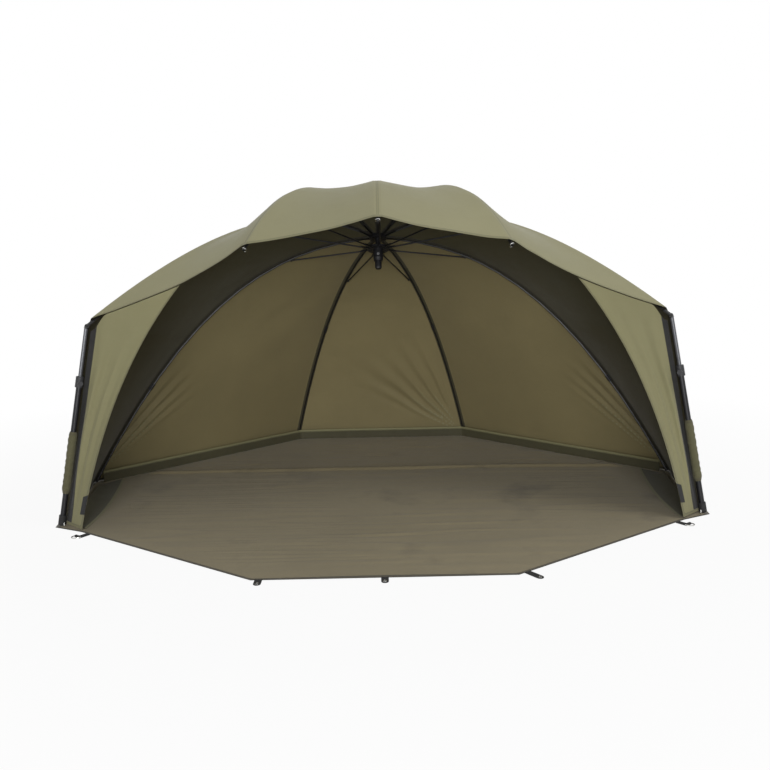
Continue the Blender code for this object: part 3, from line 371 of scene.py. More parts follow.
@dataclass
class Wardrobe:
    """Every finish of the umbrella, each made once."""

    # the canopy's outside: a dry olive, its seams and hems a shade darker
    outside: Woven = Woven(
        "woven polyester, outside",
        "8E8A69",
        roughness=0.82,
        band="85815F",
        band_wide=6 * MM,
        hem="7F7B5B",
        hem_wide=13 * MM,
        stitch="6A674C",
    )
    # the proofed inside at the back: a warmer brown with dark rib pockets, smoother than the outside
    inside: Woven = Woven(
        "woven polyester, proofed inside",
        "857A55",
        roughness=0.7,
        drift=0.16,
        band="3F3B29",
        band_wide=13 * MM,
        hem="4A4632",
        hem_wide=14 * MM,
    )
    # painted shade: the dark lining of the front and sides, a darker copy of the proofed inside
    shaded: Woven = Woven(
        "woven polyester, dark proofed inside",
        "48442C",
        roughness=0.75,
        drift=0.14,
        band="26231B",
        band_wide=11 * MM,
        hem="2B281F",
        hem_wide=13 * MM,
    )
    # the storm sides: greener, with a black strip down the pole
    wing: Woven = Woven(
        "woven polyester, storm side",
        "7E7A58",
        roughness=0.8,
        band="0D0C0A",
        band_wide=34 * MM,
        hem="6E6A4C",
        hem_wide=12 * MM,
    )
    # the coated groundsheet: coarser, creased from its bag and trodden darker in patches
    floor: Woven = Woven(
        "coated polyester, groundsheet",
        "8A7F63",
        roughness=0.62,
        drift=0.2,
        thread=3.5 * MM,
        hem="4C4636",
        hem_wide=18 * MM,
        crease=3.5 * MM,
        crease_per_metre=5.0,
        stain="5B5444",
    )
    # the mud wall: dark, with a paler binding along its top
    wall: Woven = Woven(
        "coated polyester, mud wall", "47442E", roughness=0.75, drift=0.25, hem="85825F", hem_wide=13 * MM
    )
    # the gathered pole sleeves: dull, with shade in the folds
    sleeve: Woven = Woven(
        "woven polyester, pole sleeve", "535036", roughness=0.82, drift=0.2, hem="4E4A34", hem_wide=12 * MM
    )
    # black webbing: dull, its ribs just visible
    webbing: Webbing = Webbing("woven polypropylene webbing", "161616", roughness=0.85)
    # glass fibre rod: black with a satin gloss
    rib: Drawn = Drawn("pultruded glass fibre", "151514", roughness=0.38)
    # anodised metal: a soft metallic gloss over a dark or grey dye
    stretcher: Drawn = Drawn("anodised aluminium rod, black", "26262A", roughness=0.42, metallic=0.6)
    grey_tube: Drawn = Drawn("anodised aluminium tube, grey", "46474A", roughness=0.36, metallic=0.8)
    black_tube: Drawn = Drawn("anodised aluminium tube, black", "1B1B1E", roughness=0.36, metallic=0.5)
    # mouldings: even and softly shiny in nylon, dull in rubber
    nylon: Moulded = Moulded("moulded nylon, black", "17171A", roughness=0.5)
    grey_nylon: Moulded = Moulded("moulded nylon, grey", "6F6F70", roughness=0.5)
    rubber: Moulded = Moulded("moulded rubber", "121212", roughness=0.8, worn=0.6)
    # bright plated wire
    steel: Drawn = Drawn("nickel plated steel wire", "C9C9C6", roughness=0.2, metallic=1.0)
    made: dict[str, bpy.types.Material] = field(default_factory=dict)

    def dress(self, obj: bpy.types.Object, *finishes: Finish) -> None:
        """Puts finishes on an object.

        Args:
            obj: The object.
            *finishes: One for each material index in use.
        """
        if obj.data.materials:
            obj.data.materials.clear()  # this also sets every face's number to 0
        for finish in finishes:
            if finish.name not in self.made:
                self.made[finish.name] = finish.material()
            obj.data.materials.append(self.made[finish.name])

    def fit_out(
        self,
        obj: bpy.types.Object,
        finishes: Sequence[Finish],
        slot: str,
        body: str,
        stands_for: Sequence[str] = (),
    ) -> bpy.types.Object:
        """Dresses a new piece and says what it moves with and stands for.

        Args:
            obj: The piece.
            finishes: Its finishes.
            slot: Its material slot in the record; not used.
            body: The body that it rides.
            stands_for: The CAD nodes that it replaces.

        Returns:
            The piece.
        """
        self.dress(obj, *finishes)
        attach(obj, body)
        if stands_for:
            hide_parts(*stands_for)
        return obj

    def dress_solids(self, frame: dict) -> None:
        """Gives each rigid node its finish.

        Args:
            frame: The loaded frame.
        """
        finishes = {
            "rib_rod": self.rib,
            "stretcher_rod": self.stretcher,
            "moulded_black": self.nylon,
            "moulded_grey": self.grey_nylon,
            "grey_tube": self.grey_tube,
            "black_tube": self.black_tube,
            "foot_rubber": self.rubber,
            "ring_steel": self.steel,
        }
        for part in frame["record"]["subparts"]:
            if part["material_slot"] in finishes:
                self.dress(frame["nodes"][part["node"]], finishes[part["material_slot"]])


# ---------------------------------------------------------------- the frame's own curves


@dataclass(frozen=True)
class Fits:
    """Sizes that more than one sub-assembly follows."""

    touch: float = 0.3 * MM
    sheet: float = 2 * MM
    fabric: float = 1.5 * MM
    seam_gap: float = 0.5 * MM
    pin_ring_r: float = 34 * MM
    hub_up: float = 9 * MM
    tip_cap_r: float = 6.5 * MM
    tip_cap_long: float = 26 * MM
    tip_boss_proud: float = 2 * MM
    pole_head_r: float = 8.5 * MM
    pole_head_thick: float = 15 * MM
    pole_outer_r: float = 11 * MM
    sleeve_r: float = 17 * MM
    pole_foot: Pair = (1.29, -0.478)
    side_foot: Pair = (1.376, 0.175)
    rear_foot: Pair = (0.496, 1.106)
    wing_corner: Pair = (1.182, -0.55)
    crown_back: float = 0.308
    crown_up: float = 1.141
    crown_tilt: float = math.radians(21.5)

    @property
    def crown(self) -> Matrix:
        """The crown's frame, its Z along the stem."""
        place = Matrix.Translation((0, self.crown_back, self.crown_up))
        return place @ Matrix.Rotation(-self.crown_tilt, 4, "X")

    @property
    def room(self) -> Vector:
        """The middle of the room, which the panels are drawn towards."""
        return Vector((0, self.crown_back, self.crown_up / 3))


@dataclass
class RibLine:
    """One rib's curve, in the plane that holds the crown's axis and the rib's end."""

    name: str
    side: int
    tip: Vector
    drop_shares: Pair
    bare: float
    fits: Fits
    azimuth: float = field(init=False)
    reach: float = field(init=False)
    drop: float = field(init=False)

    def __post_init__(self) -> None:
        """Works out the rib's plane, reach and drop from its tip."""
        end = self.fits.crown.inverted() @ self.tip
        self.azimuth = math.atan2(end.x, -end.y)
        self.reach = math.hypot(end.x, end.y) - self.fits.pin_ring_r
        self.drop = -end.z

    @property
    def kind(self) -> str:
        """The rib's name without its side."""
        return self.name.split("_")[0]

    @property
    def cubic(self) -> tuple[float, float, float]:
        """The linear, square and cubic shares of the drop."""
        first, second = self.drop_shares
        return first, second, 1 - first - second

    def slope(self, along: float) -> float:
        """The fall of the rib over its reach, at a share of the reach."""
        a, b, c = self.cubic
        return self.drop * (a + 2 * b * along + 3 * c * along**2) / self.reach

    def hem_reach(self) -> float:
        """How far out the cloth's hem lies."""
        return self.reach - self.bare / math.hypot(1, self.slope(1))

    def frame(self) -> Matrix:
        """The rib's own frame: out on X, across on Y, up on Z, from its pin."""
        turn = Matrix.Rotation(self.azimuth - math.pi / 2, 4, "Z")
        return self.fits.crown @ turn @ Matrix.Translation((self.fits.pin_ring_r, 0, 0))

    def across(self) -> Vector:
        """The direction square to the rib's plane."""
        return (self.frame().to_3x3() @ Vector((0, 1, 0))).normalized()

    def place(self, along: float, lift: float = 0.0, across: float = 0.0) -> Vector:
        """A point on the rib or off it.

        Args:
            along: Share of the reach from pin to tip.
            lift: Distance off the rib, square to it and up.
            across: Distance across the rib's plane, outward side first.

        Returns:
            The point in the row frame.
        """
        if along <= 0:
            flat, height = along * self.reach, lift
        else:
            a, b, c = self.cubic
            slope = self.slope(along)
            size = math.hypot(1, slope)
            flat = along * self.reach + lift * slope / size
            height = -self.drop * (a * along + b * along**2 + c * along**3) + lift / size
        return self.frame() @ Vector((flat, self.side * across, height))

    def towards(self, other: RibLine) -> int:
        """Which way across this rib's plane another rib lies, as place counts it."""
        turn = (other.azimuth - self.azimuth + math.pi) % math.tau - math.pi
        return self.side * (1 if turn > 0 else -1)


@dataclass
class RibSet:
    """The nine rib lines, in order round the crown."""

    fits: Fits
    centre: tuple[float, float, float] = (0.0, -0.459, 1.175)
    peak: tuple[float, float, float] = (0.532, -0.373, 1.079)
    front: tuple[float, float, float] = (1.151, -0.426, 0.796)
    centre_shares: Pair = (-1.36, 0.617)
    peak_shares: Pair = (-1.30, 0.62)
    front_shares: Pair = (-0.66, 2.07)
    side_shares: Pair = (0.0, 0.56)
    rear_shares: Pair = (0.0, 0.75)
    tip_bare: float = 20 * MM
    front_bare: float = 30 * MM
    lines: dict[str, RibLine] = field(default_factory=dict)

    def __post_init__(self) -> None:
        """Makes the lines."""
        middle = Vector(self.centre)
        self.lines["centre"] = RibLine("centre", 1, middle, self.centre_shares, self.tip_bare, self.fits)
        for side in Side:
            sign, word = side.value, side.word
            for kind, tip, shares, bare in (
                ("peak", self.peak, self.peak_shares, self.tip_bare),
                ("front", self.front, self.front_shares, self.front_bare),
            ):
                name, end = f"{kind}_{word}", Vector((sign * tip[0], tip[1], tip[2]))
                self.lines[name] = RibLine(name, sign, end, shares, bare, self.fits)
            for kind, foot, shares in (
                ("side", self.fits.side_foot, self.side_shares),
                ("rear", self.fits.rear_foot, self.rear_shares),
            ):
                self.lines[f"{kind}_{word}"] = self.standing(f"{kind}_{word}", sign, foot, shares)

    def standing(self, name: str, sign: int, foot: Pair, shares: Pair) -> RibLine:
        """A rib that runs down to the groundsheet and rests there on its tip cap's rim.

        Args:
            name: The rib's name.
            sign: -1 or 1.
            foot: Where it stands, across and back.
            shares: Its drop shares.

        Returns:
            The rib line.
        """
        floor = self.fits.sheet + self.fits.touch
        cap = self.fits.tip_cap_r
        flat = Vector((sign * foot[0], foot[1], 0))
        rib = RibLine(name, sign, flat + Vector((0, 0, floor + cap)), shares, 0.0, self.fits)
        run = rib.place(1) - rib.place(1 - self.fits.tip_cap_long / rib.reach)
        level = math.hypot(run.x, run.y) / run.length
        return RibLine(name, sign, flat + Vector((0, 0, floor + cap * level)), shares, 0.0, self.fits)

    def neighbours(self, name: str) -> tuple[RibLine, RibLine]:
        """The ribs before and after one, going round the crown.

        Args:
            name: The rib's name.

        Returns:
            The two ribs.
        """
        order = sorted(self.lines.values(), key=lambda rib: rib.azimuth)
        at = [rib.name for rib in order].index(name)
        return order[at - 1], order[(at + 1) % len(order)]

    def pole(self, word: str) -> PoleLine:
        """The storm pole's line on one side."""
        return PoleLine(self.lines[f"front_{word}"], self.fits)


@dataclass
class PoleLine:
    """A storm pole's line, from its pin at the front rib's tip to its foot."""

    rib: RibLine
    fits: Fits

    @property
    def pivot(self) -> Vector:
        """The pin at the top."""
        out = self.fits.tip_cap_r + self.fits.tip_boss_proud + self.fits.touch
        return self.rib.place(1, 0, out + self.fits.pole_head_thick / 2)

    @property
    def foot(self) -> Vector:
        """Where the shoe meets the groundsheet."""
        across, back = self.fits.pole_foot
        return Vector((self.rib.side * across, back, self.fits.sheet + self.fits.touch))

    @property
    def down(self) -> Vector:
        """The direction down the pole."""
        return (self.foot - self.pivot).normalized()

    def at(self, share: float, outward: float = 0.0, behind: float = 0.0) -> Vector:
        """A point beside the pole, at a share of the way from pin to foot."""
        place = self.pivot.lerp(self.foot, share)
        return place + Vector((self.rib.side * outward, behind, 0))

    def frame(self) -> Matrix:
        """The pole's frame: its -Z leads down the pole."""
        return Matrix.Translation(self.pivot) @ self.down.to_track_quat("-Z", "Y").to_matrix().to_4x4()


# ---------------------------------------------------------------- sheets


def lengths(points: Sequence[Vector]) -> list[float]:
    """Measures along a row of points.

    Args:
        points: The points.

    Returns:
        How far along the row each one lies.
    """
    found = [0.0]
    for a, b in zip(points, points[1:]):
        found.append(found[-1] + (b - a).length)
    return found


def cut_size(grid: Grid) -> tuple[float, float, float]:
    """Works out the flat cloth that a grid was cut from.

    Args:
        grid: Rows of points.

    Returns:
        Its width, its length and its area.
    """
    wide = max(lengths(row)[-1] for row in grid)
    long = max(lengths(column)[-1] for column in zip(*grid))
    area = 0.0
    for upper, lower in zip(grid, grid[1:]):
        for j in range(len(upper) - 1):
            area += (upper[j] - lower[j + 1]).cross(upper[j + 1] - lower[j]).length / 2
    return wide, long, min(area, wide * long)


def lay_of(grid: Grid, hems: Iterable[str], seam_column: int = 0) -> Grid:
    """Measures a sheet for its finish.

    Args:
        grid: Rows of points.
        hems: Which edges are hemmed: "first row", "last row", "first column", "last column".
        seam_column: The column that the seam distance is taken from.

    Returns:
        For each point its run down the sheet, distance from the seam and distance from the hem.
    """
    columns = [lengths(column) for column in zip(*grid)]
    laid = []
    for i, row in enumerate(grid):
        along = lengths(row)
        line = []
        for down, across in zip(columns, along):
            gaps = {
                "last row": down[-1] - down[i],
                "first row": down[i],
                "first column": across,
                "last column": along[-1] - across,
            }
            hem = min([FAR] + [gaps[edge] for edge in hems])
            line.append(Vector((down[i], abs(across - along[seam_column]), hem)))
        laid.append(line)
    return laid


@dataclass
class Sheet:
    """One piece of cloth: its points, which way it faces, how it is dressed and what carries it."""

    name: str
    grid: Grid
    outside: Callable[[Vector], Vector]  # gives the way out of the cloth's front at a point
    finishes: Sequence[Finish]  # its front, its back and, where it has two linings, the second one
    slot: str
    body: str
    held: str
    thick: float
    stand: float = 0.0  # how far its back stands off the points
    hems: Sequence[str] = ()
    seam_column: int = 0  # where the seam runs, and the second lining starts
    lay: Grid | None = None
    stands_for: Sequence[str] = ()
    rests_on: Sequence[str] = ()
    gather: tuple[Vector, Vector, float] | None = None  # axis, anchor and share kept when folded
    long: float | None = None


@dataclass
class Loom:
    """Makes sheets from grids of points. Sheets that share an edge also share their shading there."""

    wardrobe: Wardrobe
    normals: dict[tuple[int, int, int], Vector] = field(default_factory=dict)

    @staticmethod
    def key(point: Vector) -> tuple[int, int, int]:
        """A point's place to a hundredth of a millimetre."""
        return tuple(round(c * 1e5) for c in point)

    def note(self, sheet: Sheet) -> None:
        """Adds a sheet's faces to the normals at its points.

        Args:
            sheet: The sheet.
        """
        for upper, lower in zip(sheet.grid, sheet.grid[1:]):
            for a, b, c, d in zip(upper, upper[1:], lower[1:], lower):
                face = (c - a).cross(d - b)
                if face.dot(sheet.outside((a + c) / 2)) < 0:
                    face = -face
                for point in (a, b, c, d):
                    key = self.key(point)
                    self.normals[key] = self.normals.get(key, Vector()) + face

    def weave(self, sheet: Sheet, lay: Grid) -> bpy.types.Object:
        """Makes a thin closed sheet: material 0 on its outside and rim, 1 and 2 on its inside.

        Args:
            sheet: The sheet.
            lay: For each point its run, distance from a seam and distance from the hem.

        Returns:
            The object, at the origin.
        """
        rows, columns = len(sheet.grid), len(sheet.grid[0])
        flat = [point for row in sheet.grid for point in row]
        normals = [self.normals[self.key(point)].normalized() for point in flat]
        count = len(flat)
        points = [p + n * sheet.stand for p, n in zip(flat, normals)]
        points += [p + n * (sheet.stand + sheet.thick) for p, n in zip(flat, normals)]
        at = rows // 2 * columns
        slant = (flat[at + 1] - flat[at]).cross(flat[at + columns] - flat[at])
        turn = 1 if slant.dot(sheet.outside(flat[at + columns // 2])) > 0 else -1
        inner, outer, rim = [], [], []
        for a in range(count - columns):
            if (a + 1) % columns:
                quad = (a, a + 1, a + columns + 1, a + columns)[::turn]
                outer.append(tuple(k + count for k in quad))
                inner.append(quad[::-1])
        edge = [*range(columns), *range(2 * columns - 1, count, columns)]
        edge += [*range(count - 2, count - columns - 1, -1), *range(count - 2 * columns, 0, -columns)]
        for a, b in zip(edge, edge[1:] + edge[:1]):
            rim.append((a, b, b + count, a + count)[::turn])
        data = bpy.data.meshes.new(sheet.name)
        data.from_pydata([tuple(p) for p in points], [], outer + inner + rim)
        data.update()
        split = sheet.seam_column if len(sheet.finishes) > 2 else columns
        for polygon in data.polygons:
            polygon.use_smooth = polygon.index < len(outer) + len(inner)
            if len(outer) <= polygon.index < len(outer) + len(inner):
                column = (polygon.index - len(outer)) % (columns - 1)
                polygon.material_index = 2 if column >= split else 1
        laid = [point for row in lay for point in row] * 2
        attribute = data.attributes.new("lay", "FLOAT_VECTOR", "POINT")
        attribute.data.foreach_set("vector", [c for point in laid for c in point])
        uv = data.uv_layers.new(name="cloth")
        for loop in data.loops:
            uv.data[loop.index].uv = (laid[loop.vertex_index].y, laid[loop.vertex_index].x)
        shading = [tuple(-n) for n in normals] + [tuple(n) for n in normals]
        data.normals_split_custom_set_from_vertices(shading)
        return add_object(sheet.name, data)

    def sew(self, sheet: Sheet) -> bpy.types.Object:
        """Weaves and dresses a sheet, and says how it moves and what cloth it was cut from.

        Args:
            sheet: The sheet.

        Returns:
            The object.
        """
        obj = self.weave(sheet, sheet.lay or lay_of(sheet.grid, sheet.hems, sheet.seam_column))
        self.wardrobe.fit_out(obj, sheet.finishes, sheet.slot, sheet.body, sheet.stands_for)
        if sheet.gather:
            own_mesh(obj)
        wide, long, area = cut_size(sheet.grid)
        long = sheet.long or long
        LOG.info("%s: cut from %.2f x %.2f m, %.2f m2", sheet.name, wide, long, area)
        return obj


@dataclass
class Canopy:
    """The cloth over the ribs: one skin, cut and hung so that each rib carries its share of it."""

    ribs: RibSet
    fits: Fits
    loom: Loom
    hole_r: float = 12.5 * MM
    ease_r: float = 120 * MM
    seam_rise: float = 9.5 * MM
    strip: float = 16 * MM
    strip_share: float = 0.13
    strip_parts: tuple[float, ...] = (0.0, 0.45, 0.75)
    flat_share: float = 0.04
    ease_share: float = 0.1
    sag_full_share: float = 0.6
    turn_share: float = 0.66
    pole_top_share: float = 0.68
    hem_up: float = 5 * MM
    hem_clear: float = 1.2 * MM
    panel_sag: float = 16 * MM
    lobe_sag: float = 36 * MM
    side_sag: float = 14 * MM
    rows: int = 84
    pole_rows: int = 54
    columns: int = 14
    pleat_columns: int = 46
    pleat_crowding: float = 1.7
    thick: float = 0.9 * MM
    stand: float = 0.3 * MM
    ripple: float = 6 * MM
    ripple_per_metre: float = 5.5
    pucker: float = 5 * MM
    pucker_per_metre: float = 19.0
    fan_deep: float = 10 * MM
    fan_turn: float = math.radians(9.0)
    fan_start: Pair = (0.35, 0.6)  # angles over the ground between which the folds begin
    fan_end: Pair = (1.15, 1.4)  # and between which they end
    fan_long: float = 0.85
    fan_fade: float = 0.3  # the share of that where they begin to fade
    pleat_deep: float = 10 * MM
    pleat_turn: float = math.radians(5.2)
    pleat_long: float = 0.75
    pleat_fade: float = 0.45
    pleat_start: float = 0.8
    pleat_end: Pair = (0.22, 0.5)  # angles off the rib between which the pleats end
    pleat_clear: float = 25 * MM
    pleat_aim: float = 0.72  # the share up the rib that the angles are counted from
    keep: float = 0.06

    def seam(self, rib: RibLine, along: float, across: float) -> Vector:
        """A point of the cloth's inside over a rib.

        Args:
            rib: The rib.
            along: Share of the way from the crown's hole to the hem.
            across: Distance from the seam, as the rib's place counts it.

        Returns:
            The point.
        """
        ring = self.fits.pin_ring_r
        if along < self.flat_share:
            radius = self.hole_r + (ring - self.hole_r) * along / self.flat_share
        elif along < self.ease_share:
            part = (along - self.flat_share) / (self.ease_share - self.flat_share)
            radius = ring + (self.ease_r - ring) * part
        else:
            part = (along - self.ease_share) / (1 - self.ease_share)
            radius = self.ease_r + (ring + rib.hem_reach() - self.ease_r) * part
        crown_rise = self.fits.hub_up + self.fits.touch
        rise = crown_rise + (self.seam_rise - crown_rise) * ease(ring, self.ease_r, radius)
        wide = math.copysign(min(abs(across), radius * self.strip_share), across)
        return rib.place((radius - ring) / rib.reach, rise, wide)

    def edge(self, rib: RibLine, other: RibLine, along: float, out: float) -> Vector:
        """A gore's edge over one of its ribs, or down behind the storm pole.

        Args:
            rib: The rib under the edge.
            other: The gore's other rib.
            along: Share of the way down the gore.
            out: Distance from the seam into the gore.

        Returns:
            The point.
        """
        across = rib.towards(other) * out
        if (rib.kind, other.kind) != ("front", "side"):
            return self.seam(rib, along, across)
        if along <= self.turn_share:
            return self.seam(rib, self.unturned(along), across)
        pole = PoleLine(rib, self.fits)
        below = (along - self.pole_top_share) / (1 - self.pole_top_share)
        hem = 1 - (self.hem_up + self.fits.sheet) / (pole.pivot.z - self.fits.sheet)
        behind = self.fits.sleeve_r + self.fits.touch + self.fits.fabric + out
        return pole.at(below * hem, 0, behind)

    def unturned(self, along: float) -> float:
        """Finds the place down the front rib's seam that one down the gore beside the pole stands for.

        Args:
            along: Share of the way down the gore.

        Returns:
            Share of the way down the seam.
        """
        if along <= self.ease_share:
            return along
        span = self.turn_share - self.ease_share
        return self.ease_share + (1 - self.ease_share) * (along - self.ease_share) / span

    def sag(self, one: RibLine, other: RibLine) -> float:
        """How deep a gore is drawn in between its ribs.

        Args:
            one: One of the gore's ribs.
            other: The other.

        Returns:
            The depth in its middle.
        """
        kinds = {one.kind, other.kind}
        if kinds == {"peak", "front"}:
            return self.lobe_sag
        return self.side_sag if kinds == {"front", "side"} else self.panel_sag

    def fan(self, point: Vector, foot: Vector, inner: float) -> float:
        """How far the fan of folds at the right rear foot moves a point of the rear gore inward.

        Args:
            point: The point before it moves.
            foot: The rib's foot.
            inner: 0 at the seams and 1 in the middle of the gore.

        Returns:
            The distance.
        """
        from_foot = point - foot
        away = from_foot.length
        turn = math.atan2(from_foot.z, foot.x - point.x)
        spread = ease(*self.fan_start, turn) * (1 - ease(*self.fan_end, turn))
        far = ease(self.fan_long * self.fan_fade, self.fan_long, away)
        wave = math.sin(math.tau * turn / self.fan_turn + 3 * noise.noise(point * 3))
        return self.fan_deep * wave * ease(0.02, 0.2, away) * (1 - far) * spread * ease(0, 0.3, inner)

    def pleats(self, point: Vector, rib: RibLine) -> float:
        """How far the pleats at a side rib's foot move a point of the gore behind it inward.

        Args:
            point: The point before it moves.
            rib: The side rib.

        Returns:
            The distance.
        """
        from_foot = point - rib.tip
        away = from_foot.length
        up_rib = (rib.place(self.pleat_aim) - rib.tip).normalized()
        turn = math.acos(max(-1.0, min(1.0, from_foot.normalized().dot(up_rib))))
        far = ease(self.pleat_long * self.pleat_fade, self.pleat_long, away)
        spread = (1 - ease(*self.pleat_end, turn)) * ease(0, self.pleat_clear, turn * away)
        wave = math.sin(math.tau * turn / self.pleat_turn + self.pleat_start)
        return self.pleat_deep * wave * ease(0.0, 0.25, away) * (1 - far) * spread

    def creased(self, point: Vector, one: RibLine, other: RibLine, inner: float) -> float:
        """How far wrinkles move a point inward: a slow ripple, puckers beside the seams, and folds.

        Args:
            point: The point before it moves.
            one: One of the gore's ribs.
            other: The other.
            inner: 0 at the seams and 1 in the middle of the gore.

        Returns:
            The distance.
        """
        move = self.ripple * noise.noise(point * self.ripple_per_metre) * inner
        move += self.pucker * noise.noise(point * self.pucker_per_metre) * inner * (1 - inner)
        kinds = {one.kind: one, other.kind: other}
        if set(kinds) == {"rear"}:
            move += self.fan(point, max((one, other), key=lambda rib: rib.tip.x).tip, inner)
        if set(kinds) == {"side", "rear"}:
            move += self.pleats(point, kinds["side"])
        return move

    def half(self, rib: RibLine, other: RibLine, stations: Sequence[float]) -> Grid:
        """The half gore that a rib carries, from its seam to the gore's middle.

        Args:
            rib: The rib that carries it.
            other: The gore's other rib.
            stations: Shares down the gore.

        Returns:
            Rows of points, the seam first.
        """
        pleated = other.kind == "rear" and rib.kind in ("side", "rear")
        columns = self.pleat_columns if pleated else self.columns
        crowding = self.pleat_crowding if pleated and rib.kind == "side" else 1.0
        gap = self.strip + self.fits.seam_gap / 2
        grid = []
        for along in stations:
            line = [self.edge(rib, other, along, self.strip * part) for part in self.strip_parts]
            a, b = self.edge(rib, other, along, gap), self.edge(other, rib, along, gap)
            full = ease(self.flat_share, self.sag_full_share, along)
            for part in evenly(0, 1, columns):
                share = part**crowding / 2
                point = a.lerp(b, share)
                inner = 4 * share * (1 - share)
                inward = (self.fits.room - point).normalized()
                drawn = self.sag(rib, other) * inner * full + self.creased(point, rib, other, inner)
                line.append(point + inward * drawn)
            grid.append(line)
        return grid

    def eave(self, side: Side) -> list[Vector]:
        """The hem from a front rib to its peak rib, on the cloth's inside."""
        front, peak = (self.ribs.lines[f"{kind}_{side.word}"] for kind in ("front", "peak"))
        return self.half(front, peak, [1.0])[0] + self.half(peak, front, [1.0])[0][-2::-1]

    def grids(self) -> dict[str, tuple[Grid, int]]:
        """Works out every sheet's points.

        Returns:
            By name, the sheet's rows of points and its seam's column.
        """
        upper = [0.0, 0.02, self.flat_share, 0.06, 0.08, *evenly(self.ease_share, 1, self.rows)]
        span = (self.turn_share - self.ease_share) / (1 - self.ease_share)
        turned = [min(a, self.ease_share) + span * max(a - self.ease_share, 0.0) for a in upper]
        turned[-1] = self.turn_share
        down = evenly(self.pole_top_share, 1, self.pole_rows)
        found: dict[str, tuple[Grid, int]] = {}
        for name, rib in self.ribs.lines.items():
            low = rib.kind in ("side", "rear")
            halves = []
            for other in self.ribs.neighbours(name):
                beside = (rib.kind, other.kind) == ("front", "side")
                halves.append(self.half(rib, other, turned + down if low else turned if beside else upper))
            joined = [a[::-1] + b[1:] for a, b in zip(*halves)]
            found[f"canopy_{name}"] = (joined, len(halves[0][0]) - 1)
        for side in Side:
            rib, other = (self.ribs.lines[f"{kind}_{side.word}"] for kind in ("front", "side"))
            found[f"side_drop_{side.word}"] = (self.half(rib, other, [self.turn_share, *down]), 0)
        for name, (grid, _) in found.items():
            if name.startswith(("canopy_side", "canopy_rear", "side_drop")):
                floor = self.fits.sheet + self.hem_clear
                grid.append([Vector((point.x, point.y, floor)) for point in grid[-1]])
        return found

    def build(self) -> list[bpy.types.Object]:
        """Builds and dresses the canopy's sheets.

        Returns:
            The sheets, those over the ribs first.
        """
        sheets = [
            (self.drop if name.startswith("side_drop") else self.over_rib)(name, grid, column)
            for name, (grid, column) in self.grids().items()
        ]
        for sheet in sheets:
            self.loom.note(sheet)
        return [self.loom.sew(sheet) for sheet in sheets]

    def sheet(
        self,
        name: str,
        grid: Grid,
        column: int,
        linings: Sequence[Finish],
        hems: Sequence[str],
        **carried: object,
    ) -> Sheet:
        """Says what all the canopy's sheets have in common.

        Args:
            name: The sheet's name.
            grid: Its points.
            column: Its seam's column.
            linings: What its inside looks like, before its rib and after it.
            hems: Its hemmed edges.
            **carried: What carries the sheet, and how it gathers there.

        Returns:
            The sheet.
        """
        return Sheet(
            name=name,
            grid=grid,
            outside=lambda point: point - self.fits.room,
            finishes=(self.loom.wardrobe.outside, *linings),
            slot="canopy_cloth",
            held="stretched",
            thick=self.thick,
            stand=self.stand,
            hems=hems,
            seam_column=column,
            **carried,
        )

    def drop(self, name: str, grid: Grid, column: int) -> Sheet:
        """The part of a side panel that hangs behind the storm pole and gathers there.

        Args:
            name: The sheet's name.
            grid: Its points.
            column: Its seam's column.

        Returns:
            The sheet.
        """
        word = name.rsplit("_", 1)[1]
        pole = self.ribs.pole(word)
        axis = pole.down.cross(Vector((1, 0, 0))).normalized()
        beside = pole.at(0, 0, self.fits.sleeve_r + self.fits.touch + self.fits.fabric)
        return self.sheet(
            name,
            grid,
            column,
            # painted shade over the drop's whole inside
            [self.loom.wardrobe.shaded] * 2,
            ["last row", "first column"],
            body=f"pole_inner_{word}",
            gather=(axis, beside, 2 * self.keep),
            stands_for=[f"side_panel_{word}"],
            rests_on=[f"pole_outer_{word}"],
        )

    def over_rib(self, name: str, grid: Grid, column: int) -> Sheet:
        """The cloth over one rib, which it follows and gathers on; painted shade inside before the side ribs.

        Args:
            name: The sheet's name.
            grid: Its points.
            column: Its seam's column.

        Returns:
            The sheet.
        """
        rib = self.ribs.lines[name.removeprefix("canopy_")]
        word = rib.name.partition("_")[2]
        neighbours = self.ribs.neighbours(rib.name)
        wardrobe = self.loom.wardrobe
        # halves between side and rear ribs keep the plain inside; the others get the painted shade
        lit = [{rib.kind, other.kind} <= {"side", "rear"} for other in neighbours]
        owned = {
            "peak": [f"peak_panel_{word}", f"lobe_panel_{word}"],
            "side": [f"back_panel_{word}"],
            "rear": ["rear_panel"] if word == "left" else [],
        }
        sheet = self.sheet(
            name,
            grid,
            column,
            [wardrobe.inside if light else wardrobe.shaded for light in lit],
            ["last row"],
            body=f"rib_{rib.name}",
            gather=(rib.across(), rib.tip, self.keep),
            stands_for=owned.get(rib.kind, []),
            rests_on=[f"rib_{rib.name}"],
        )
        if rib.kind == "front":
            # no hem where the cloth runs on into the drop beside the pole
            sheet.lay = lay_of(grid, sheet.hems, column)
            before = neighbours[0].kind == "side"
            for row in sheet.lay:
                for point in row[:column] if before else row[column + 1 :]:
                    point.z = FAR
        return sheet


